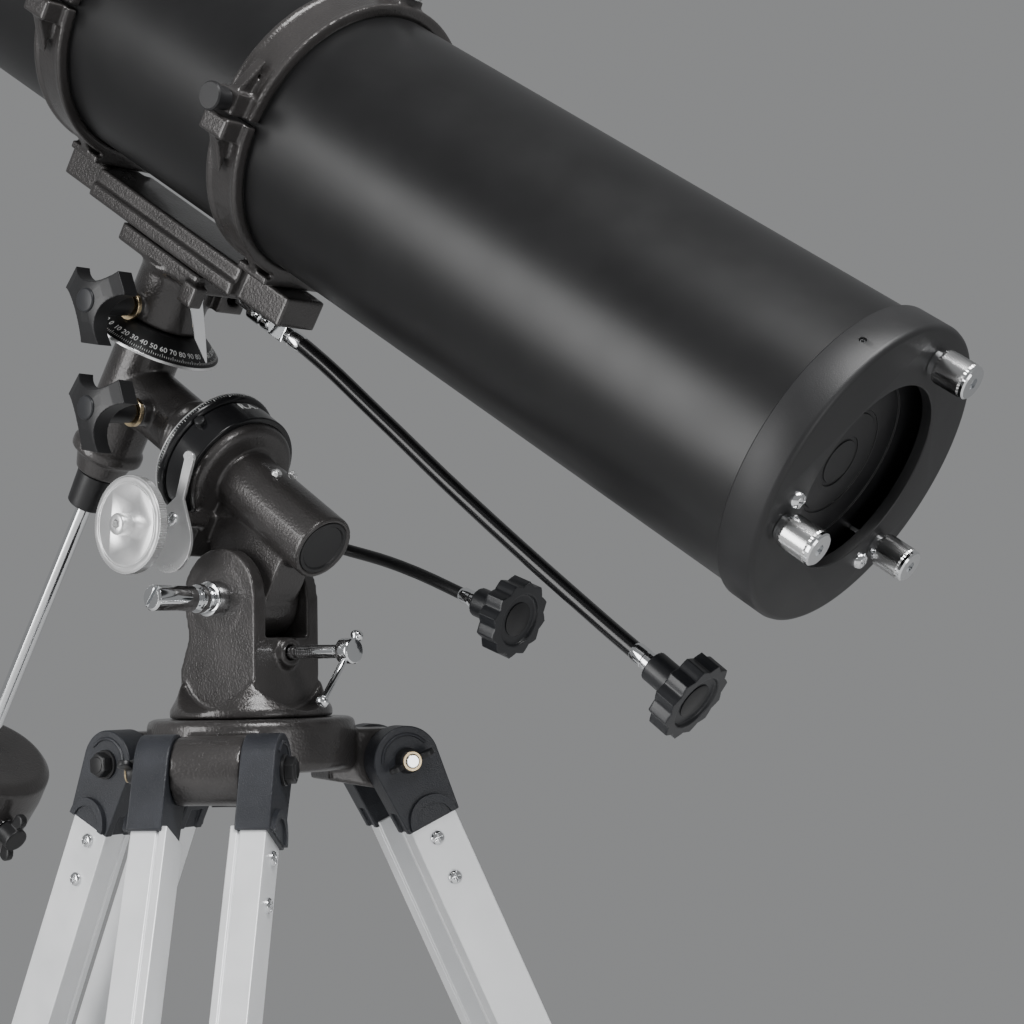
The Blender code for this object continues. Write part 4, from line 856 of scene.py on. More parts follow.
def brace(name, arm):
    """One grooved spreader arm, hinged on the tray hub; its outer eye lies between the rails."""
    _drop, length = brace_geometry()
    half = BRACE_WIDTH / 2
    strip = block((-half, 0, -BRACE_THICKNESS / 2), (half, length, BRACE_THICKNESS / 2))
    for face in (-1, 1):
        top = face * BRACE_THICKNESS / 2
        strip = carved(strip, block((-half + 3, 16, top - face * 0.8), (half - 3, length - 16, top + face)))
    inner = along(rod(BRACE_EYE, -half, half), "x")
    outer = along(rod(BRACE_EYE, -half, half), "x", (0, length, 0))
    hole = along(rod(2 + GAP, -half - 1, half + 1, TINY_STEPS), "x")
    put(name + "_brace", carved(fused(strip, inner, outer), hole), "black_plastic", arm, bevel=0.5)


def tripod(stand):
    tripod_head(stand)
    head_bolt(stand)
    tray(stand)
    drop, _length = brace_geometry()
    for name, turn in LEG_TURNS.items():
        radial = spin("Z", turn - 90) @ Vector((0, 1, 0))
        leg = place(stand, radial * PIVOT_RADIUS - Vector((0, 0, PIVOT_DROP)), (SPLAY, 0, turn - 90))
        pivot_bolt(name, leg)
        leg_upper(name, leg)
        leg_lower(name, leg)
        leg_lock(name, leg)
        arm = place(stand, radial * HUB_ARM - Vector((0, 0, drop)), (-BRACE_TILT, 0, turn - 90))
        brace(name, arm)


# --- mount ---
def azimuth_base(stand):
    """The forked casting: a flat-sided column that flares into a round foot, slotted for the housing."""
    outline = [(-BASE_SOUTH, 5), (-BASE_SOUTH, PIVOT_HEIGHT)]
    outline += arc(CHEEK_RADIUS, 180, 0, 48, (0, PIVOT_HEIGHT))[1:]
    outline += [(26, 52), (26, 46), (30, 36), (33, 28), (33, 5)]
    column = along(prism(outline, -BASE_HALF, BASE_HALF), "x")
    cone = lathe([(0, GAP), (BASE_RADIUS, GAP), (BASE_RADIUS, 5), (44, 12), (41, 21), (0, 21)])
    base = fused(column, cone)
    for axis, face in (("x", BASE_HALF), ("-x", BASE_HALF), ("-y", BASE_SOUTH)):
        base = carved(base, along(rod(32, face, face + 40, ROUND_STEPS), axis, (0, 0, 36)))
    boss = lathe(
        [
            (0, BASE_SOUTH - 6), (13, BASE_SOUTH - 4), (9.5, BASE_SOUTH + 1), (8, BASE_SOUTH + 4),
            (0, BASE_SOUTH + 4)
        ]
    )
    base = fused(base, along(boss, "-y", (0, 0, SCREW_HEIGHT)))
    for axis in ("x", "-x"):
        rim = lathe(
            [(0, BASE_HALF - 1), (21, BASE_HALF - 1), (20, BASE_HALF + 0.25), (0, BASE_HALF + 0.25)]
        )
        base = fused(base, along(rim, axis, (0, 0, PIVOT_HEIGHT)))
    cavity = block((-SLOT_HALF, -20, SLOT_FLOOR), (SLOT_HALF, 60, 120))
    window = block((-SLOT_HALF, -60, SILL_HEIGHT), (SLOT_HALF, -10, 120))
    pivot = along(rod(LATITUDE_BOLT_RADIUS + 0.6, -60, 60), "x", (0, 0, PIVOT_HEIGHT))
    screw = along(rod(SCREW_RADIUS + 0.6, 10, 60), "-y", (0, 0, SCREW_HEIGHT))
    socket = rod(HEAD_BOLT_RADIUS + 0.6, -5, HEAD_BOLT_RISE + 1)
    put("azimuth_base", carved(base, cavity, window, pivot, screw, socket), "hammertone", stand, cast=1.15)


def latitude_hardware(stand):
    face = BASE_HALF + GAP
    node = "latitude_bolt"
    at = (0, 0, PIVOT_HEIGHT)
    bolt = lathe(
        [
            (0, -78), (6.2, -78), (7.5, -76.8), (7.5, -48), (6, -46.5), (6, -44), (8.3, -43.7),
            (8.5, -43.2),
            (8.5, -38.8), (8.2, -38.4), (7, -38), (7, -36), (10.2, -35.4), (10.5, -34.8), (10.5, -face),
            (LATITUDE_BOLT_RADIUS, -face), (LATITUDE_BOLT_RADIUS, face), (0, face),
        ],
        SMALL_STEPS,
    )
    slot_cut = moved(block((-1.1, -12, -80), (1.1, 12, -75.6)), spin("Z", 38))
    put(node, along(carved(bolt, slot_cut), "x"), "chrome", stand, at, bevel=0.25)
    cap = lathe(
        [
            (LATITUDE_BOLT_RADIUS - 1, face), (9.5, face), (9.5, face + 1.6), (7.4, face + 1.8),
            (7.2, face + 4), (5.2, face + 6.4), (2, face + 7), (0, face + 7), (0, face)
        ],
        SMALL_STEPS
    )
    put(node + "_cap", along(cap, "x"), "silver", stand, at, node=node)
    tip = 14.0
    screw = lathe(
        [
            (0, tip), (2.6, tip), (SCREW_RADIUS, tip + 1.2), (SCREW_RADIUS, 72), (5, 72.5), (5, 74.5),
            (7.2, 75), (7.5, 75.4), (7.5, SCREW_REACH - 0.8), (6.7, SCREW_REACH), (0, SCREW_REACH),
        ],
        SMALL_STEPS,
    )
    bar_hole = along(rod(2 + GAP, -10, 10, TINY_STEPS), "x", (0, 0, 79.5))
    turned = place(stand, (0, 0, SCREW_HEIGHT), (0, -BAR_TURN, 0))
    put("latitude_screw", along(carved(screw, bar_hole), "-y"), "chrome", turned, bevel=0.2)
    thread = thread_along(SCREW_RADIUS + 0.05, 40, 71, 1.5)
    put("latitude_screw_thread", along(thread, "-y"), "chrome", turned, node="latitude_screw")
    bar = lathe(
        [
            (0, -14.4), (2, -13.9), (3.3, -12.8), (4, -11.2), (3.6, -9.8), (2.8, -9), (2, -8.4),
            (2, 33), (3, 34),
            (3.9, 35.2), (4, 36.2), (3.5, 37.6), (2.2, 38.7), (0, 39.1),
        ],
        TINY_STEPS,
    )
    put("latitude_bar", along(bar, "-x"), "chrome", turned, (0, -79.5, 0), smooth=60)


def from_pivot(north, up):
    """Polar-frame (y, z) of a point given level and upright from the latitude pivot."""
    cosine = math.cos(math.radians(LATITUDE))
    sine = math.sin(math.radians(LATITUDE))
    return -POLAR_REACH + north * cosine + up * sine, -POLAR_RISE - north * sine + up * cosine


def polar_housing(polar):
    knuckle_x = SLOT_HALF - GAP
    south = WORM_Y - WHEEL_THICKNESS / 2 - GAP
    dial = -CIRCLE_NORTH - DIAL_THICKNESS - GAP
    body = along(
        lathe(
            [
                (0, -POLAR_END), (POLAR_RADIUS, -POLAR_END), (POLAR_RADIUS, -POLAR_END + 4),
                (POLAR_RADIUS, south - 4), (COVER_RADIUS - 4, south - 4), (COVER_RADIUS - 1, south - 2.5),
                (COVER_RADIUS, south + 1), (COVER_RADIUS, dial - 0.3), (0, dial - 0.3),
            ]
        ),
        "y",
    )
    knuckle = along(
        rod(KNUCKLE_RADIUS, -knuckle_x + 0.3, knuckle_x - 0.3, 96), "x", (0, -POLAR_REACH, -POLAR_RISE)
    )
    web_outline = [(-184, -2), (-186, -52), (-160, -60), (-143, -60), (-118, -30), (-118, -2)]
    web = along(prism(web_outline, -13, 13), "x")
    nose_outline = [from_pivot(-8, -18), from_pivot(-8, -32), from_pivot(3, -32), from_pivot(6, -18)]
    nose = along(prism(nose_outline, -9, 9), "x")
    worm_box = block((-24, WORM_Y - 13, -WORM_DROP - 13), (24, WORM_Y + 10, -24))
    boss_y, boss_z = LEVER_PIVOT
    boss = along(rod(5, -LEVER_X + LEVER_THICKNESS / 2 + GAP, -20, SMALL_STEPS), "x", (0, boss_y, boss_z))
    body = fused(body, knuckle, web, nose, worm_box, boss)
    wheel_room = along(rod(WHEEL_RADIUS + 1.1, south, WORM_Y + 30), "y")
    bore = along(rod(SHAFT_RADIUS + RUNNING + 0.4, -POLAR_END + 8, 0), "y")
    worm_bore = along(rod(WORM_RADIUS + RUNNING + 0.4, -60, 60), "x", (0, WORM_Y, -WORM_DROP))
    pivot = along(rod(LATITUDE_BOLT_RADIUS + 0.6, -60, 60), "x", (0, -POLAR_REACH, -POLAR_RISE))
    cap_seat = along(rod(POLAR_RADIUS - 3.2, -POLAR_END - 1, -POLAR_END + 2.2), "y")
    put(
        "polar_housing", carved(body, wheel_room, bore, worm_bore, pivot, cap_seat), "hammertone",
        polar, cast=1.15
    )
    cap = lathe(
        [
            (0, 1.0), (POLAR_RADIUS - 6.5, 1.0), (POLAR_RADIUS - 5.6, 0.2), (POLAR_RADIUS - 3.6, 0.2),
            (POLAR_RADIUS - 3.4, 0.6), (POLAR_RADIUS - 3.4, 3), (0, 3),
        ]
    )
    put(
        "polar_cap", along(cap, "y", (0, -POLAR_END, 0)), "satin_black", polar, node="polar_housing",
        bevel=0.2
    )
    shroud_outline = arc(SHROUD_RADIUS, -136, 136, 120) + arc(COVER_RADIUS - 0.5, 136, -136, 120)
    shroud = prism(shroud_outline, south + 2.2, dial - 0.4)
    put("dial_shroud", along(shroud, "y"), "gloss_black", polar, node="polar_housing", bevel=0.8)
    boss = lathe([(0, 0), (3.6, 0), (3.6, 3.2), (2.9, 3.6), (0, 3.6)], 6)
    west_up = spin("Y", -52)
    stud = moved(boss, west_up @ Matrix.Translation((0, dial - 4, SHROUD_RADIUS - 0.2)))
    put("dial_stud", stud, "satin_black", polar, node="polar_housing", bevel=0.3)
    for x, y in ((-6.5, -147.0), (6.5, -147.0)):
        nut = lathe([(0, 0), (3.4, 0), (3.4, 2.4), (2.9, 2.8), (1.7, 2.8), (1.6, 3.8), (0, 3.9)], 6)
        put(
            "web_nut_" + ("w" if x < 0 else "e"), shifted(nut, x, y, POLAR_RADIUS - 1.5), "silver",
            polar, node="polar_housing", bevel=0.2
        )


def right_ascension_drive(polar):
    drum_south = -CIRCLE_NORTH - CIRCLE_THICKNESS
    bore = SHAFT_RADIUS + RUNNING
    hub = WHEEL_RADIUS - 0.8
    dial = -CIRCLE_NORTH - DIAL_THICKNESS
    drum = lathe(
        [
            (bore, drum_south), (hub, drum_south), (hub, dial), (CIRCLE_RADIUS - 3.6, dial),
            (CIRCLE_RADIUS - 1.6, dial + 0.7), (CIRCLE_RADIUS - 0.4, dial + 2), (CIRCLE_RADIUS, dial + 3.4),
            (CIRCLE_RADIUS, -CIRCLE_NORTH - 1.3), (CIRCLE_RADIUS - 0.3, -CIRCLE_NORTH - 1.2),
            (CIRCLE_RADIUS - 0.3, -CIRCLE_NORTH - 0.9), (CIRCLE_RADIUS - 2, -CIRCLE_NORTH - 0.9),
            (bore, -CIRCLE_NORTH - 0.9),
        ],
        ROUND_STEPS * 2,
        ring=True,
    )
    put("ra_circle", along(drum, "y"), "gloss_black", polar)
    rim = lathe(
        [
            (bore, -CIRCLE_NORTH - 0.85), (CIRCLE_RADIUS - 0.25, -CIRCLE_NORTH - 0.85),
            (CIRCLE_RADIUS, -CIRCLE_NORTH - 0.6),
            (CIRCLE_RADIUS, -CIRCLE_NORTH - 0.2), (CIRCLE_RADIUS - 0.3, -CIRCLE_NORTH),
            (bore, -CIRCLE_NORTH),
        ],
        ROUND_STEPS * 2,
        ring=True,
    )
    put("ra_circle_rim", along(rim, "y"), "silver", polar, node="ra_circle")
    dial_marks("ra_circle", polar, 144, CIRCLE_RADIUS)
    label = shifted(text_mesh("R.A.", 8.0, 0.15), 0, dial - 6.5, SHROUD_RADIUS + 0.1)
    label = moved(label, spin("Y", -4))
    put("ra_label", label, "white_print", polar, node="polar_housing")
    low = WORM_Y - WHEEL_THICKNESS / 2
    high = WORM_Y + WHEEL_THICKNESS / 2
    teeth = []
    for step in range(200):
        angle = math.tau * step / 200
        reach = WHEEL_RADIUS if step % 2 else WHEEL_RADIUS - 0.9
        teeth.append((reach * math.cos(angle), reach * math.sin(angle)))
    wheel = carved(prism(teeth, low, high), rod(bore, low - 1, high + 1))
    put("ra_worm_wheel", along(wheel, "y"), "brass", polar)
    axis_at = (0, WORM_Y, -WORM_DROP)
    out = -WORM_WEST - THUMB_THICKNESS
    shaft = lathe(
        [
            (0, -WORM_WEST), (WORM_SHAFT_RADIUS, -WORM_WEST), (WORM_SHAFT_RADIUS, -12),
            (WORM_RADIUS - 1, -11),
            (WORM_RADIUS - 1, 11), (WORM_SHAFT_RADIUS, 12), (WORM_SHAFT_RADIUS, WORM_EAST), (0, WORM_EAST),
        ],
        32,
    )
    put("ra_worm_shaft", along(shaft, "x"), "chrome", polar, axis_at, node="ra_worm")
    put(
        "ra_worm_thread", along(thread_along(WORM_RADIUS, -10.5, 9.5, 1.9), "x"), "chrome", polar,
        axis_at, node="ra_worm"
    )
    edge = []
    for step in range(240):
        angle = math.tau * step / 240
        reach = THUMB_RADIUS if step % 2 else THUMB_RADIUS - 0.45
        edge.append((reach * math.cos(angle), reach * math.sin(angle)))
    disc = prism(edge, out + 0.8, -WORM_WEST - 0.8)
    faces = lathe(
        [
            (0, out + 0.6), (12, out + 0.6), (13, out), (THUMB_RADIUS - 5.4, out),
            (THUMB_RADIUS - 5, out + 0.6),
            (THUMB_RADIUS - 4.2, out + 0.6), (THUMB_RADIUS - 3.8, out), (THUMB_RADIUS - 1.4, out),
            (THUMB_RADIUS - 0.6, out + 0.7), (THUMB_RADIUS - 0.6, -WORM_WEST - 0.7),
            (THUMB_RADIUS - 1.4, -WORM_WEST),
            (0, -WORM_WEST),
        ]
    )
    hub = lathe(
        [
            (0, out - 8), (5.2, out - 8), (6.3, out - 7.2), (6.5, out - 6.6), (6.5, out + 1),
            (0, out + 1)
        ], SMALL_STEPS
    )
    hub = carved(hub, lathe([(0, out - 9), (3.1, out - 9), (3.1, out - 4), (0, out - 4)], 6))
    thumb = fused(disc, faces, hub)
    put("ra_worm", along(thumb, "x"), "silver", polar, axis_at, bevel=0.15)
    pivot_y, pivot_z = LEVER_PIVOT
    disc_at = (pivot_y - 4 - pivot_y, -12.5)
    outline = arc(19, 130, 400, 60, disc_at)
    outline += [(5, 12), (11, 34)] + arc(4.5, -20, 160, 16, (8.5, 36))[1:] + [(-1, 14)]
    lever = prism(outline, -LEVER_THICKNESS / 2, LEVER_THICKNESS / 2)
    shaft_room = shifted(rod(11, -5, 5), WORM_Y - pivot_y, -WORM_DROP - pivot_z)
    lever_at = (-LEVER_X, pivot_y, pivot_z)
    put("ra_lever", along(carved(lever, shaft_room), "x"), "silver", polar, lever_at, bevel=0.5)
    head = along(screw_head(4, 2.3), "-x", (-LEVER_THICKNESS / 2, 0, 0))
    put("ra_lever_screw", head, "chrome", polar, lever_at, node="ra_lever", bevel=0.2)


def drive_cable(name, points, radius, parent, sleeve_radius):
    """A flexible drive shaft in a black sleeve, satin on the right ascension cable and glossy on the
    declination cable, with a metal ferrule at each end.
    """
    cable = tube_along(points, radius)
    put(name, cable, "gloss_black" if name == "dec_cable" else "satin_black", parent, smooth=60)
    for number, (end, inside) in enumerate(((points[0], points[1]), (points[-1], points[-2])), 1):
        direction = (Vector(inside) - Vector(end)).normalized()
        turn = direction.to_track_quat("Z", "Y").to_matrix().to_4x4()
        profile = [
            (0, 0), (sleeve_radius - 0.6, 0), (sleeve_radius, 0.6), (sleeve_radius, 4),
            (sleeve_radius - 0.5, 4.4),
            (sleeve_radius - 0.5, 5.2), (sleeve_radius, 5.6), (sleeve_radius, 12),
            (sleeve_radius - 0.9, 14), (0, 14),
        ]
        ferrule = moved(lathe(profile, SMALL_STEPS), Matrix.Translation(end) @ turn)
        put(name + "_ferrule_" + str(number), ferrule, "chrome", parent, node=name)


def knob_at(name, points, parent):
    """A scalloped knob beyond the last point of a drive cable, on its own frame with Z along the shaft."""
    end = Vector(points[-1])
    direction = (end - Vector(points[-2])).normalized()
    turned = direction.to_track_quat("Z", "Y").to_matrix().to_4x4()
    holder = place(parent, end + direction * GAP) @ turned
    knob = scalloped_knob(DRIVE_KNOB_RADIUS, DRIVE_KNOB_THICKNESS)
    top = max(vertex.co.z for vertex in knob.verts)
    dish = lathe([(0, top - 2.2), (15.5, top - 2.2), (16.5, top + 1), (0, top + 1)])
    put(name, softened(carved(knob, dish), 0.5, 4), "black_plastic", holder)
    disc = lathe([(0, top - 3), (10.5, top - 3), (10.5, top - 1.6), (9.8, top - 1.2), (0, top - 1.2)])
    put(name + "_disc", disc, "satin_black", holder, node=name)
    at = (0, -7.0, DRIVE_HUB * 0.4)
    put(name + "_grub", along(socket_head(2.4, -1, 0.9), "-y", at), "chrome", holder, node=name)


def declination_housing(hour):
    low = -DEC_BOTTOM
    body = lathe(
        [
            (0, low), (15, low), (18.5, -52), (23, -50), (23, -44), (DEC_RADIUS, -42),
            (DEC_RADIUS, DEC_TOP),
            (0, DEC_TOP),
        ]
    )
    sleeve = along(rod(POLAR_RADIUS, -CIRCLE_NORTH + GAP + 0.4, 0, ROUND_STEPS), "y")
    collar = along(lathe([(0, -64), (POLAR_RADIUS + 1.6, -64), (POLAR_RADIUS + 1.6, -60), (0, -60)]), "y")
    shaft = along(rod(SHAFT_RADIUS, -POLAR_END + 12, 0), "y")
    boss = along(rod(8, 10, 27, SMALL_STEPS), "-x", (0, RA_LOCK_Y, 0))
    body = fused(body, sleeve, collar, shaft, boss)
    bore = rod(SHAFT_RADIUS + RUNNING + 0.3, -38, DEC_TOP + 1)
    socket = rod(ROD_RADIUS + 0.5, low - 1, -46)
    put("dec_housing", carved(body, bore, socket), "hammertone", hour, cast=1.15)


def lock_knob(name, parent, at):
    """A three-lobed clamp knob whose stem points to the axis that it locks, on a brass collar."""
    start = 28.0
    neck = LOCK_KNOB_OUT + LOCK_KNOB_SWEEP - start
    knob = winged_knob(LOCK_KNOB_RADIUS, LOCK_KNOB_THICKNESS, neck, 8.5, LOCK_KNOB_SWEEP)
    knob = moved(knob, spin("Z", LOCK_KNOB_TURN))
    holder = place(parent, (at[0] - start - GAP, at[1], at[2]))
    put(name, along(knob, "-x"), "satin_black", holder)
    collar = lathe([(4, 0), (8.9, 0), (9.1, 0.3), (9.1, 2.6), (8.9, 2.9), (4, 2.9)], SMALL_STEPS, ring=True)
    put(name + "_collar", along(collar, "-x"), "brass", holder, node=name)
    top = neck + LOCK_KNOB_THICKNESS
    cap = lathe(
        [(0, top - 6), (7.4, top - 6), (7.4, top + 0.2), (6.6, top + 0.9), (0, top + 1.1)], SMALL_STEPS
    )
    put(name + "_cap", along(cap, "-x"), "black_plastic", holder, node=name, bevel=0.2)


def counterweight(hour):
    start = DEC_BOTTOM + GAP
    bar = lathe(
        [
            (0, -ROD_END), (9, -ROD_END), (9, -ROD_END + 8), (ROD_RADIUS, -ROD_END + 8),
            (ROD_RADIUS, -start - 1),
            (ROD_RADIUS, -48), (0, -48),
        ],
        SMALL_STEPS,
    )
    put("counterweight_rod", bar, "chrome", hour, bevel=0.5)
    sleeve = lathe(
        [
            (ROD_RADIUS - 0.5, -start - 24), (11, -start - 24), (12, -start - 23), (12.2, -start - 21),
            (13, -start - 0.8), (12.2, -start), (ROD_RADIUS - 0.5, -start),
        ],
        ROUND_STEPS,
        ring=True,
    )
    put("counterweight_rod_sleeve", sleeve, "satin_black", hour, node="counterweight_rod")
    bottom = -WEIGHT_TOP - WEIGHT_LENGTH
    bore = ROD_RADIUS + RUNNING + 0.5
    weight = lathe(
        [
            (bore, bottom), (22, bottom), (34, bottom + 6), (44, bottom + 34),
            (WEIGHT_RADIUS, -WEIGHT_TOP - 22),
            (WEIGHT_RADIUS, -WEIGHT_TOP - 5), (WEIGHT_RADIUS - 6, -WEIGHT_TOP), (bore, -WEIGHT_TOP),
        ],
        ROUND_STEPS,
        ring=True,
    )
    hole = along(rod(4.8, 2, 60, TINY_STEPS), "-y", (0, 0, -WEIGHT_SCREW_DROP))
    put("counterweight", carved(weight, hole), "hammertone", hour, cast=1.5)
    shank = rod(4, ROD_RADIUS + 1, WEIGHT_RADIUS + 8, TINY_STEPS)
    holder = place(hour, (0, 0, -WEIGHT_SCREW_DROP))
    quarter = spin("Y", 90)
    put(
        "counterweight_shank", moved(along(shank, "-y"), quarter), "chrome", holder,
        node="counterweight_screw"
    )
    hub = rod(8, WEIGHT_RADIUS + 1.3, WEIGHT_RADIUS + 14)
    wings = prism(wing_outline(18.0, 4.0, 13.0), -2.4, 2.4)
    wings = moved(wings, Matrix.Translation((0, 0, WEIGHT_RADIUS + 2)) @ spin("X", 90))
    screw = softened(along(fused(hub, wings), "-y"), 0.6)
    put("counterweight_screw", moved(screw, quarter), "satin_black", holder)


def declination_circle(hour):
    low = DEC_TOP + GAP
    high = low + DEC_CIRCLE_HEIGHT
    bore = SHAFT_RADIUS + 2
    slope = 29.0
    dial = lathe(
        [
            (bore, low + 0.05), (DEC_CIRCLE_RADIUS - 0.2, low + 0.05), (DEC_CIRCLE_RADIUS - 0.2, low + 2.2),
            (DEC_CIRCLE_RADIUS - 1.2, low + 3.1), (slope, high - 0.2), (slope - 0.6, high), (bore, high),
        ],
        ROUND_STEPS * 2,
        ring=True,
    )
    put("dec_circle", dial, "tube_black", hour)
    rim = lathe(
        [
            (DEC_CIRCLE_RADIUS - 0.6, low), (DEC_CIRCLE_RADIUS, low + 0.2), (DEC_CIRCLE_RADIUS, low + 1.6),
            (DEC_CIRCLE_RADIUS - 0.3, low + 2), (DEC_CIRCLE_RADIUS - 0.6, low + 2),
        ],
        ROUND_STEPS * 2,
        ring=True,
    )
    put("dec_circle_rim", rim, "silver", hour, node="dec_circle")
    outer = Vector((DEC_CIRCLE_RADIUS - 1.2, 0, low + 3.1))
    inner = Vector((slope, 0, high - 0.2))
    down = (outer - inner).normalized()
    normal = Vector((-down.z, 0, down.x)) * -1
    normal = normal if normal.z > 0 else -normal
    face = basis((0, 0, 0), Vector((0, 1, 0)), -down, normal)
    marks = []
    for step in range(180):
        length = (1.4, 2.4)[step % 5 == 0]
        at = outer - down * (0.4 + length / 2) + normal * 0.02
        mark = block((-0.13, -length / 2, -0.05), (0.13, length / 2, 0.06))
        mark = moved(mark, Matrix.Translation(at) @ face)
        marks.append(moved(mark, spin("Z", 360 * step / 180)))
    put("dec_circle_marks", joined(*marks), "white_print", hour, node="dec_circle")
    numbers = []
    for step in range(36):
        value = abs((step * 10 + 90) % 180 - 90)
        word = text_mesh(str(value), 5.0, 0.06)
        at = outer - down * 5.9 + normal * 0.04
        word = moved(word, Matrix.Translation(at) @ face)
        numbers.append(moved(word, spin("Z", 360 * step / 36)))
    put("dec_circle_numbers", joined(*numbers), "white_print", hour, node="dec_circle")


# --- saddle and declination drive ---
def saddle(scope):
    floor = DEC_TOP + GAP + DEC_CIRCLE_HEIGHT + GAP
    top = PLATE_BOTTOM - GAP
    neck = lathe(
        [
            (0, -36), (SHAFT_RADIUS, -36), (SHAFT_RADIUS, floor + 0.3), (NECK_RADIUS, floor + 0.3),
            (NECK_RADIUS, top - 16), (NECK_RADIUS + 2, top - 10), (0, top - 10),
        ]
    )
    head = block((-PLATE_HALF, -38, top - 12), (PLATE_HALF, 38, top - 0.2))
    worm_box = block((DEC_WORM_X - 12, -26, DEC_WORM_Z - 12), (DEC_WORM_X + 10, 26, top - 2))
    boss = along(rod(7, 10, 28, SMALL_STEPS), "-x", (0, 0, DEC_LOCK_Z))
    pointer_foot = block((-27, -43, 74), (-17, -30, 88))
    body = fused(neck, head, worm_box, boss, pointer_foot)
    worm_bore = along(rod(WORM_RADIUS + RUNNING + 0.4, -60, 60), "y", (DEC_WORM_X, 0, DEC_WORM_Z))
    put("saddle", carved(body, worm_bore), "hammertone", scope, cast=1.15)
    blade = [
        (-27, 84), (-26, 77), (-15, 62), (-10, 54), (7.6, 38.7), (9.3, 38.7), (-1, 56), (-6, 64),
        (-15, 78), (-16, 84),
    ]
    put("saddle_pointer", along(prism(blade, 39.9, 41.1), "-y"), "chrome", scope, node="saddle", bevel=0.3)


def declination_drive(scope):
    worm = lathe(
        [
            (0, -50), (WORM_SHAFT_RADIUS, -50), (WORM_SHAFT_RADIUS, -13), (WORM_RADIUS - 1, -12),
            (WORM_RADIUS - 1, 12), (WORM_SHAFT_RADIUS, 13), (WORM_SHAFT_RADIUS, 28.4),
            (WORM_SHAFT_RADIUS - 0.6, 29), (0, 29),
        ],
        SMALL_STEPS,
    )
    at = (DEC_WORM_X, 0, DEC_WORM_Z)
    thread = thread_along(WORM_RADIUS, -11.5, 10.5, 1.9)
    put("dec_worm_thread", along(thread, "y"), "chrome", scope, at, node="dec_worm")
    collar = lathe(
        [
            (0, -64), (5.8, -64), (6.5, -63.2), (6.5, -56), (5.9, -55.4), (5.9, -54.6), (6.5, -54),
            (6.5, -42.8),
            (5.8, -42), (0, -42),
        ],
        SMALL_STEPS,
    )
    fork = softened(block((-5.6, -3.6, -75.6), (5.6, 3.6, -58)), 0.5)
    put("dec_worm_fork", along(fork, "y"), "chrome", scope, at, node="dec_worm")
    cross = along(rod(1.9, -5.2, 5.2, TINY_STEPS), "z", (0, -69, 0))
    put("dec_worm_pin", cross, "satin_black", scope, at, node="dec_worm", bevel=0.3)
    grub = along(socket_head(1.9, 4, 7.0), "-x", (0, -49, 0))
    put("dec_worm_grub", grub, "chrome", scope, at, node="dec_worm")
    put("dec_worm", along(fused(worm, collar), "y"), "chrome", scope, at, bevel=0.15)
    start = -76 - GAP
    points = [
        (DEC_WORM_X, start, DEC_WORM_Z),
        (DEC_WORM_X, start - 18, DEC_WORM_Z),
        (DEC_WORM_X, -166, 71),
        (DEC_WORM_X, -242, 62),
        (DEC_WORM_X, -359, 52),
        (DEC_WORM_X, -400, 49.5),
    ]
    drive_cable("dec_cable", points, DEC_SLEEVE_RADIUS, scope, 5.6)
    knob_at("dec_knob", points, scope)


def mounting_plate(scope):
    body = block((-PLATE_HALF, -65, PLATE_BOTTOM), (PLATE_HALF, 76, PLATE_TOP))
    tongue = block(
        (-TONGUE_HALF, RING_SOUTH - RING_WIDTH - 1, PLATE_BOTTOM), (
            TONGUE_HALF, RING_NORTH + RING_WIDTH - 6, PLATE_TOP
        )
    )
    for side in (-1, 1):
        step = block(
            (side * (PLATE_HALF - 2.4), -70, PLATE_BOTTOM + 9),
            (side * (PLATE_HALF + 1), 80, PLATE_TOP + 1)
        )
        body = carved(body, step)
    plate = fused(body, tongue)
    put("mounting_plate", plate, "hammertone", scope, cast=1.1)
    for y in (-48.0, 58.0):
        screw = along(socket_head(5.5, -0.5, 3.4), "-z", (0, y, PLATE_BOTTOM))
        put("plate_screw_" + ("s" if y < 0 else "n"), screw, "satin_black", scope, node="mounting_plate")


# --- tube rings ---
def half_band(start, end):
    """Half of a tube ring, with a raised lip along both edges."""
    outline = arc(RING_OUTER - 1.2, start, end, 64) + arc(RING_INNER, end, start, 64)
    half = RING_WIDTH / 2
    band = along(prism([(-x, z) for x, z in outline], -half, half), "-y")
    for side in (-1, 1):
        lip = arc(RING_OUTER, start, end, 64) + arc(RING_OUTER - 2.4, end, start, 64)
        band = fused(band, along(prism([(-x, z) for x, z in lip], side * (half - 3.4), side * half), "-y"))
    return band


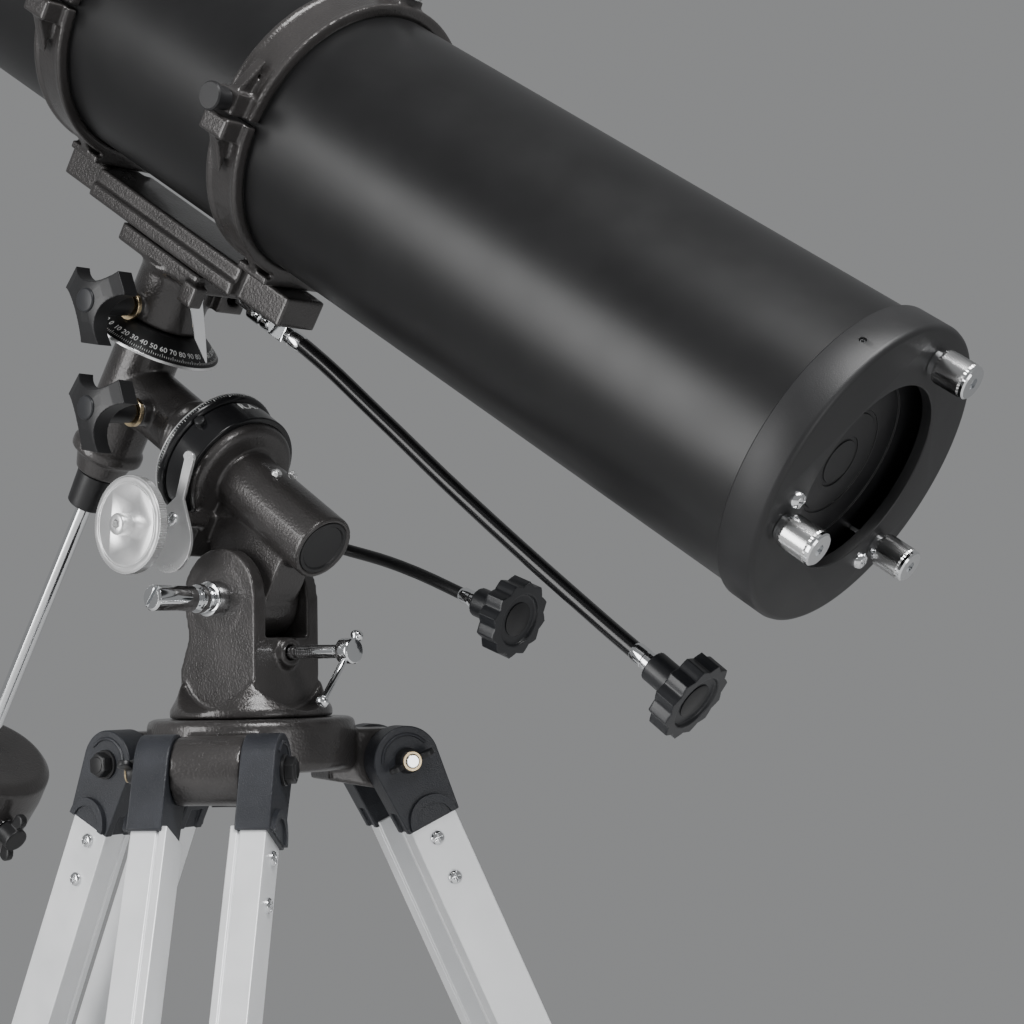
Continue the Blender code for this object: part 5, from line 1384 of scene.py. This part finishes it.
def tube_ring(name, centre, y):
    """A hinged two-part ring: the lower half stands on the mounting plate, the upper half swings open."""
    half = RING_WIDTH / 2
    hinge_x = RING_OUTER + HINGE_OUT
    split = 1.0
    foot_z = -TUBE_OFFSET + PLATE_TOP + GAP
    foot_outline = [(-25, foot_z), (25, foot_z), (25, foot_z + 4)] + arc(RING_INNER + 3, -63, -117, 24) + [
        (-25, foot_z + 4)
    ]
    foot = along(prism(foot_outline, -half, half), "-y")
    for side in (-1, 1):
        for wing in (-1, 1):
            pocket = block((wing * 6, side * 3.2, foot_z + 5), (wing * 30, side * (half + 2), foot_z + 13))
            foot = carved(foot, pocket)
    lug = block((-RING_OUTER - 13, -half + 3, -13), (-RING_OUTER + 2, half - 3, -split))
    gusset = along(
        prism([(-RING_OUTER - 11, -12), (-RING_OUTER + 1, -12), (-RING_OUTER + 4, -34)], -3.5, 3.5),
        "-y"
    )
    lower = fused(half_band(181, 359), foot, lug, gusset)
    for side in (-1, 1):
        low, high = sorted((side * 4.7, side * half))
        knuckle = along(rod(5, low, high), "y", (hinge_x, 0, 0))
        bridge = block((RING_OUTER - 3, low, -5), (hinge_x, high, -split))
        lower = fused(lower, knuckle, bridge)
    lower = carved(lower, along(rod(RING_INNER - 0.2, -half - 1, half + 1, 192), "y"))
    at = place(centre, (0, y, TUBE_OFFSET))
    put(name + "_lower", lower, "hammertone", at, cast=0.95)
    pin = lathe(
        [
            (0, -half - 1.5), (3.4, -half - 1.5), (3.4, -half - 0.2), (2, -half), (2, half),
            (3.2, half + 0.2), (3.2, half + 1.5), (0, half + 1.5)
        ],
        TINY_STEPS
    )
    put(name + "_pin", along(pin, "y", (hinge_x, 0, 0)), "chrome", at, node=name + "_lower")
    upper = half_band(1, 179)
    knuckle = along(rod(5, -4.2, 4.2), "y", (hinge_x, 0, 0))
    bridge = block((RING_OUTER - 3, -4.2, split), (hinge_x, 4.2, 5))
    lug = block((-RING_OUTER - 11, -half + 5, split), (-RING_OUTER + 2, half - 5, 14))
    gusset = along(
        prism([(-RING_OUTER - 9, 13), (-RING_OUTER + 1, 13), (-RING_OUTER + 5, 36)], -3.5, 3.5), "-y"
    )
    pad = block((-10, -half + 3, RING_OUTER - 3), (10, half - 3, RING_OUTER + 4))
    pin_room = along(rod(2 + 0.7, -half, half, TINY_STEPS), "y", (hinge_x, 0, 0))
    screw_room = along(rod(2.5 + 0.7, RING_OUTER + 2, RING_OUTER + 30, TINY_STEPS), "-x", (0, 0, 7.5))
    upper = fused(upper, knuckle, bridge, lug, gusset, pad)
    upper = carved(upper, pin_room, screw_room, along(rod(RING_INNER - 0.2, -half - 1, half + 1, 192), "y"))
    holder = place(centre, (hinge_x, y, TUBE_OFFSET))
    put(name + "_upper", shifted(softened(upper, 0.95), -hinge_x), "hammertone", holder)
    felt = []
    for start, end in ((3, 177), (183, 357)):
        outline = arc(RING_INNER - 0.05, start, end, 64) + arc(TUBE_RADIUS + 0.12, end, start, 64)
        felt.append(along(prism([(-x, z) for x, z in outline], -half + 0.4, half - 0.4), "-y"))
    put(name + "_felt_upper", shifted(felt[0], -hinge_x), "rubber", holder, node=name + "_upper")
    put(name + "_felt_lower", felt[1], "rubber", at, node=name + "_lower")
    face = RING_OUTER + 11 + GAP
    shank = rod(2.5, RING_OUTER + 3, face + 4, TINY_STEPS)
    screw_at = (0, y, TUBE_OFFSET + 7.5)
    node = name + "_screw"
    put(node + "_shank", along(shank, "-x"), "chrome", centre, screw_at, node=node)
    grip = knurled(6.5, face, face + 9, 28, 6, 0.35)
    cap = lathe(
        [
            (0, face + 8.6), (7.2, face + 8.6), (8, face + 9.4), (8, face + 11.2), (7.2, face + 12),
            (0, face + 12)
        ],
        SMALL_STEPS
    )
    put(node, along(joined(grip, cap), "-x"), "satin_black", centre, screw_at)


def camera_screw(scope):
    base = TUBE_OFFSET + RING_OUTER + 4 + GAP
    at = (0, RING_SOUTH, base)
    screw = lathe([(0, 9), (12, 9), (11.5, 10), (3.1, 10), (3.1, 17.4), (2.5, 18), (0, 18)], SMALL_STEPS)
    put("camera_screw", screw, "chrome", scope, at)
    grip = knurled(12.5, 0, 9.2, 44, 6, 0.4)
    put("camera_screw_grip", grip, "knurl_chrome", scope, at, node="camera_screw", smooth=20)


# --- optical tube ---
def tube(optics):
    inner = TUBE_RADIUS - TUBE_WALL
    south = -TUBE_REAR + CELL_PLATE + GAP
    shell = lathe(
        [
            (inner, south), (TUBE_RADIUS, south), (TUBE_RADIUS, TUBE_FRONT - 14),
            (TUBE_RADIUS + 1.6, TUBE_FRONT - 13.4),
            (TUBE_RADIUS + 2.5, TUBE_FRONT - 12), (TUBE_RADIUS + 2.5, TUBE_FRONT - 1.4),
            (TUBE_RADIUS + 1.4, TUBE_FRONT),
            (inner + 0.8, TUBE_FRONT), (inner, TUBE_FRONT - 0.8),
        ],
        192,
        ring=True,
    )
    shell = along(shell, "y")
    window = moved(rod(DRAW_RADIUS + 1.5, 50, 100), focus_matrix())
    put("tube", carved(shell, window), "tube_black", optics, smooth=50)
    lining = lathe(
        [
            (inner - 0.02, south + 20), (inner - 0.02, TUBE_FRONT - 2), (inner - 0.25, TUBE_FRONT - 2),
            (inner - 0.25, south + 20)
        ],
        128,
        ring=True,
    )
    lining = carved(along(lining, "y"), moved(rod(DRAW_RADIUS + 1.6, 50, 100), focus_matrix()))
    put("tube_lining", lining, "dark_inside", optics, node="tube")


def focus_matrix():
    return Matrix.Translation((0, FOCUS_Y, 0)) @ spin("Y", FOCUS_TURN)


def mirror_end(optics):
    outer = TUBE_RADIUS + CELL_OVERHANG
    inner = TUBE_RADIUS + GAP
    rear = -TUBE_REAR
    cell = lathe(
        [
            (CELL_HOLE + 0.5, rear), (outer - 3, rear), (outer - 1.6, rear + 0.4),
            (outer - 0.6, rear + 1.3),
            (outer, rear + 3), (outer, rear + CELL_LENGTH - 0.6), (outer - 0.5, rear + CELL_LENGTH),
            (inner, rear + CELL_LENGTH), (inner, rear + CELL_PLATE), (CELL_HOLE, rear + CELL_PLATE),
            (CELL_HOLE, rear + 0.5),
        ],
        192,
        ring=True,
    )
    cell = along(cell, "y")
    for angle in COLLIMATION_ANGLES:
        for spread, circle, radius in ((0, COLLIMATION_CIRCLE, 2.8), (-13, 62.0, 2.6)):
            x = circle * math.cos(math.radians(angle + spread))
            z = circle * math.sin(math.radians(angle + spread))
            cell = carved(
                cell, along(rod(radius, rear - 1, rear + CELL_PLATE + 1, TINY_STEPS), "y", (x, 0, z))
            )
    grub = along(rod(1.9, outer - 2, outer + 2, TINY_STEPS), "z", (0, rear + 12, 0))
    for turn in (-38, 82, 202):
        copy = grub.copy()
        cell = carved(cell, moved(copy, spin("Y", turn)))
    grub.free()
    put("mirror_cell", cell, "cell_black", optics, bevel=0.35)
    for turn in (-38, 82, 202):
        screw = socket_head(1.8, outer - 2.6, outer - 0.9)
        screw = moved(along(screw, "z", (0, rear + 12, 0)), spin("Y", turn))
        put("cell_grub_" + str(turn % 360), screw, "chrome", optics, node="mirror_cell")
    back = rear + CELL_PLATE + 10
    mirror = lathe(
        [
            (0, back + 4.02), (MIRROR_RADIUS, back + 4.02), (MIRROR_RADIUS, back + 3.6 + MIRROR_THICKNESS),
            (MIRROR_RADIUS - 0.6, back + 4 + MIRROR_THICKNESS),
            (MIRROR_RADIUS * 0.5, back + 2.9 + MIRROR_THICKNESS),
            (0, back + 2.5 + MIRROR_THICKNESS),
        ],
        128,
    )
    put("primary_mirror", along(mirror, "y"), "mirror_glass", optics)
    holder = lathe(
        [
            (0, back), (12, back), (12, back + 0.8), (14, back + 0.8), (14, back), (27, back),
            (27, back + 0.8),
            (29, back + 0.8), (29, back), (44, back), (44, back + 0.8), (46, back + 0.8), (46, back),
            (MIRROR_RADIUS + 4.5, back), (MIRROR_RADIUS + 5, back + 0.5), (MIRROR_RADIUS + 5, back + 4),
            (0, back + 4),
        ],
        128,
    )
    put("mirror_back", along(holder, "y"), "satin_black", optics, node="primary_mirror", bevel=0.2)
    for number, angle in enumerate(COLLIMATION_ANGLES, 1):
        x = COLLIMATION_CIRCLE * math.cos(math.radians(angle))
        z = COLLIMATION_CIRCLE * math.sin(math.radians(angle))
        face = rear - GAP
        node = "collimation_knob_" + str(number)
        end = face - COLLIMATION_LENGTH
        stem = lathe(
            [
                (0, face - 4), (COLLIMATION_RADIUS - 2, face - 4), (COLLIMATION_RADIUS - 2, face),
                (2.5, face),
                (2.5, back - GAP), (0, back - GAP),
            ],
            SMALL_STEPS,
        )
        put(node + "_stem", along(stem, "y"), "chrome", optics, (x, 0, z), node=node)
        grip = knurled(COLLIMATION_RADIUS, end + 2.2, face - 3.6, 34, 12, 0.42)
        put(node, along(grip, "y"), "knurl_chrome", optics, (x, 0, z), smooth=15)
        cap = lathe(
            [
                (0, end), (COLLIMATION_RADIUS - 1.1, end), (COLLIMATION_RADIUS - 0.3, end + 0.8),
                (COLLIMATION_RADIUS - 0.3, end + 2.4), (0, end + 2.4),
            ],
            SMALL_STEPS,
        )
        cap = carved(cap, lathe([(0, end - 1), (3.1, end - 1), (3.1, end + 2), (0, end + 2)], 6))
        put(node + "_cap", along(cap, "y"), "chrome", optics, (x, 0, z), node=node)
        x = 62.0 * math.cos(math.radians(angle - 13))
        z = 62.0 * math.sin(math.radians(angle - 13))
        lock = along(screw_head(4.6, 4.5), "-y", (x, rear, z))
        put("cell_lock_screw_" + str(number), lock, "chrome", optics, node="mirror_cell", bevel=0.2)


def spider(optics):
    """Secondary holder with a face cut at 45 degrees towards the focuser, on three thin vanes."""
    reach = TUBE_RADIUS - TUBE_WALL - GAP
    hub = along(rod(17, FOCUS_Y - 20, FOCUS_Y + 32, 64), "y")
    out = spin("Y", FOCUS_TURN) @ Vector((0, 0, 1))
    toward_mirror = Vector((0, -1, 0))
    normal = (out + toward_mirror).normalized()
    tilt = Matrix.Translation((0, FOCUS_Y, 0)) @ normal.to_track_quat("Z", "Y").to_matrix().to_4x4()
    hub = carved(hub, moved(block((-60, -60, 0), (60, 60, 80)), tilt))
    for turn in (60, 180, 300):
        vane = block((-0.6, FOCUS_Y + 10, 8), (0.6, FOCUS_Y + 28, reach))
        hub = fused(hub, moved(vane, spin("Y", FOCUS_TURN + turn)))
    put("secondary_spider", hub, "satin_black", optics, bevel=0.3)
    oval = lathe([(0, -0.4), (15.5, -0.4), (15.8, -0.1), (15.8, 0.25), (0, 0.25)], 64)
    oval = moved(oval, tilt)
    put("secondary_mirror", oval, "mirror_glass", optics, node="secondary_spider")
    for angle in (90, 210, 330):
        x = 8 * math.cos(math.radians(angle))
        z = 8 * math.sin(math.radians(angle))
        screw = along(socket_head(2.2, -1, 2.6), "y", (x, FOCUS_Y + 32, z))
        put("secondary_screw_" + str(angle), screw, "chrome", optics, node="secondary_spider")


def focuser(optics):
    holder = place(optics, (0, FOCUS_Y, 0), (0, FOCUS_TURN, 0))
    saddle_block = block((-34, -34, 50), (34, 34, 85.5))
    barrel = rod(31, 82, 118)
    pinion_box = block((20, -20, 90), (37, 20, 110))
    body = fused(saddle_block, barrel, pinion_box)
    seat = along(rod(TUBE_RADIUS + 0.1, -60, 60, 192), "y")
    bore = rod(DRAW_RADIUS + RUNNING, 40, 130)
    pinion_at = (DRAW_RADIUS + 5.5, 0, 101)
    pinion_bore = along(rod(3 + GAP, -30, 30, TINY_STEPS), "y", pinion_at)
    put("focuser_body", carved(body, seat, bore, pinion_bore), "satin_black", holder, bevel=1.0)
    for x in (-28, 28):
        for y in (-28, 28):
            screw = shifted(screw_head(3.3, 2.0), x, y, 85.5)
            put(
                "focuser_screw_" + str((x + 28) // 56) + str((y + 28) // 56), screw, "chrome", holder,
                node="focuser_body", bevel=0.2
            )
    draw = lathe(
        [
            (23.5, 70), (DRAW_RADIUS, 70), (DRAW_RADIUS, 140), (28.6, 140), (29.4, 140.6),
            (29.4, 151.6), (28.8, 152.6),
            (28, 153), (16.1, 153), (16.1, 132), (23.5, 130),
        ],
        ROUND_STEPS,
        ring=True,
    )
    put("focuser_drawtube", draw, "chrome", holder, bevel=0.2)
    grip = lathe([(28, 142), (30, 142), (30, 150), (28, 150)], 120, ring=True)
    put("drawtube_grip", grip, "silver", holder, node="focuser_drawtube", bevel=0.4)
    thumb = knurled(4.2, 30, 39, 22, 5, 0.3)
    put(
        "drawtube_screw", along(thumb, "-y", (0, 0, 146)), "knurl_chrome", holder,
        node="focuser_drawtube", smooth=20
    )
    shaft = rod(3, -42, 42, TINY_STEPS)
    put("focus_shaft", along(shaft, "y"), "chrome", holder, pinion_at, node="focus_knobs")
    wheels = []
    for side in (-1, 1):
        low, high = sorted((side * 27, side * 41))
        wheels.append(knurled(15, low, high, 48, 8, 0.5))
        face = [
            (0, side * 41.6), (13.4, side * 41.6), (14.4, side * 40.8), (14.4, side * 26),
            (11, side * 25), (0, side * 25)
        ]
        wheels.append(lathe(face, SMALL_STEPS))
    put("focus_knobs", along(joined(*wheels), "y"), "satin_black", holder, pinion_at, smooth=25)
    eyepiece = lathe(
        [
            (0, 128), (15.7, 128), (15.7, 153 + GAP), (18.4, 153 + GAP), (19, 154), (19, 175), (17.4, 180),
            (17, 181), (17, 194.6), (16, 196), (11, 196), (9, 193), (0, 193),
        ],
        ROUND_STEPS,
    )
    put("eyepiece", eyepiece, "satin_black", holder)
    lens = lathe([(0, 192.6), (8.8, 192.6), (8.6, 193.1), (4, 193.7), (0, 193.9)], SMALL_STEPS)
    put("eye_lens", lens, "mirror_glass", holder, node="eyepiece")


def finder(optics):
    holder = place(optics, (0, FOCUS_Y, 0), (0, FINDER_TURN, 0))
    foot = carved(block((-13, -26, 60), (13, 26, 86)), along(rod(TUBE_RADIUS + 0.1, -60, 60, 192), "y"))
    stalk = block((-4, -14, 84), (4, 14, 108))
    ring = lathe([(0, -8), (20, -8), (21, -7), (21, 7), (20, 8), (0, 8)])
    put("finder_scope", fused(foot, stalk, along(ring, "y", (0, 0, 122))), "satin_black", holder, bevel=0.8)
    body = lathe(
        [
            (0, -76), (9, -76), (11, -78), (12, -77), (12.8, -62), (13, -60), (13, 40), (17.5, 62),
            (17.5, 91),
            (17, 92), (16, 92), (16, 82), (0, 82),
        ]
    )
    put("finder_tube", along(body, "y", (0, 0, 122)), "tube_black", holder, node="finder_scope")
    glass = lathe([(0, 82), (15.9, 82), (15.6, 83), (8, 84.5), (0, 85)], ROUND_STEPS)
    put("finder_lens", along(glass, "y", (0, 0, 122)), "mirror_glass", holder, node="finder_scope")


def winged_knob(radius, thickness, neck, neck_radius, sweep):
    """The clamp knob with its lobes rounded all over."""
    return softened(lobed_knob(radius, thickness, neck, neck_radius, sweep), 0.42, 3)


def wing_outline(reach, root, height):
    """Two rounded wings seen from the side, joined along the bottom."""
    right = [(root, 1), (reach * 0.5, 3)] + arc(
        height * 0.36, -50, 130, 10, (reach - height * 0.36, height * 0.62)
    )
    right.append((root + 1.5, height * 0.62))
    left = [(-x, y) for x, y in reversed(right)]
    return right + left


def thread_along(radius, low, high, pitch):
    """A rolled thread as close rings standing a little proud of the shank."""
    profile = [(radius - 1, low)]
    height = low
    while height < high:
        profile += [(radius - 0.35, height), (radius, height + pitch * 0.5)]
        height += pitch
    profile.append((radius - 1, height))
    return lathe(profile, 32, ring=True)


def dial_marks(name, polar, count, radius):
    """White hour marks round the dial's edge, a longer one at every hour."""
    marks = []
    for step in range(count):
        length = (1.2, 2.2)[step % 6 == 0]
        mark = block(
            (-0.12, -CIRCLE_NORTH - 1.3 - length, radius - 0.3),
            (0.12, -CIRCLE_NORTH - 1.3, radius + 0.05)
        )
        marks.append(moved(mark, spin("Y", 360 * step / count)))
    put(name + "_marks", joined(*marks), "white_print", polar, node=name)


def studio(stand):
    """Camera, soft lights, pale floor."""
    origin = stand.to_translation()
    forward = Vector((math.sin(CAMERA_YAW), math.cos(CAMERA_YAW), 0))
    right = Vector((math.cos(CAMERA_YAW), -math.sin(CAMERA_YAW), 0))
    up = Vector((0, 0, 1))
    look = forward * math.cos(CAMERA_PITCH) + up * math.sin(CAMERA_PITCH)
    above = up * math.cos(CAMERA_PITCH) - forward * math.sin(CAMERA_PITCH)
    side = right * math.cos(CAMERA_ROLL) + above * math.sin(CAMERA_ROLL)
    above = above * math.cos(CAMERA_ROLL) - right * math.sin(CAMERA_ROLL)
    data = bpy.data.cameras.new("camera")
    data.lens = CAMERA_LENS
    data.sensor_width = 36
    data.clip_start = 0.02
    camera = bpy.data.objects.new("camera", data)
    bpy.context.scene.collection.objects.link(camera)
    camera.matrix_world = basis(origin + Vector(CAMERA_AT) * MM, side, above, -look)
    bpy.context.scene.camera = camera
    centre = origin + Vector((0, -0.1, 0.25))
    for name, offset, size, power in LIGHTS:
        lamp = bpy.data.lights.new(name, "AREA")
        lamp.shape = "RECTANGLE"
        lamp.size, lamp.size_y = size
        lamp.energy = power
        light = bpy.data.objects.new(name, lamp)
        bpy.context.scene.collection.objects.link(light)
        world = side * offset[0] + above * offset[1] - look * offset[2]
        light.location = centre + world
        light.rotation_euler = (-world).to_track_quat("-Z", "Y").to_euler()
    world = bpy.data.worlds.new("studio")
    world.use_nodes = True
    world.node_tree.nodes["Background"].inputs[0].default_value = (0.80, 0.81, 0.82, 1)
    world.node_tree.nodes["Background"].inputs[1].default_value = BACKGROUND
    bpy.context.scene.world = world
    floor = lathe([(0, -10), (2900, -10), (2900, 0), (0, 0)], ROUND_STEPS)
    bmesh.ops.scale(floor, vec=(MM, MM, MM), verts=floor.verts)
    mesh = bpy.data.meshes.new("floor")
    floor.to_mesh(mesh)
    floor.free()
    mesh.materials.append(surface("floor_paint", (0.62, 0.62, 0.62), 0.7, 0.0, 300, 0.0001, 0.03))
    ground = bpy.data.objects.new("floor", mesh)
    bpy.context.scene.collection.objects.link(ground)


CAMERA_YAW = math.radians(51.79)
CAMERA_PITCH = math.radians(4.39)
CAMERA_ROLL = math.radians(-1.08)
CAMERA_LENS = 69.6
CAMERA_AT = (-831.7, -854.5, 28.8)
BACKGROUND = 0.32
LIGHTS = (
    ("key", (0.9, 1.9, 1.2), (1.9, 1.0), 85),
    ("left_fill", (-2.2, 0.1, 1.3), (1.2, 2.0), 45),
    ("front_low", (1.6, -0.5, 2.0), (1.0, 0.8), 8),
)


def main():
    stand = Matrix.Translation(joint_at("azimuth_turn"))
    tripod(stand)
    azimuth_base(stand)
    latitude_hardware(stand)
    crossing = joint_at("right_ascension")
    east = joint_axis("latitude_tilt")
    pole = joint_axis("right_ascension")
    dec_axis = joint_axis("declination")
    tube_axis = joint_axis("tube_slide")
    polar = basis(crossing, east, pole, east.cross(pole))
    polar_housing(polar)
    right_ascension_drive(polar)
    cable_start = WORM_EAST + GAP
    ra_points = [
        (cable_start, WORM_Y, -WORM_DROP),
        (cable_start + 18, WORM_Y, -WORM_DROP),
        (84, -143, -31),
        (85, -190, -15),
        (85, -254, 0),
    ]
    drive_cable("ra_cable", ra_points, CABLE_RADIUS, polar, 4.8)
    knob_at("ra_knob", ra_points, polar)
    hour = basis(crossing, pole.cross(dec_axis), pole, dec_axis)
    declination_housing(hour)
    lock_knob("ra_lock_knob", hour, (0, RA_LOCK_Y, 0))
    counterweight(hour)
    declination_circle(hour)
    scope = basis(crossing, tube_axis.cross(dec_axis), tube_axis, dec_axis)
    saddle(scope)
    lock_knob("dec_lock_knob", scope, (0, 0, DEC_LOCK_Z))
    declination_drive(scope)
    mounting_plate(scope)
    tube_ring("ring_south", scope, RING_SOUTH)
    tube_ring("ring_north", scope, RING_NORTH)
    camera_screw(scope)
    optics = place(scope, (0, 0, TUBE_OFFSET))
    tube(optics)
    mirror_end(optics)
    spider(optics)
    focuser(optics)
    finder(optics)
    studio(stand)


main()
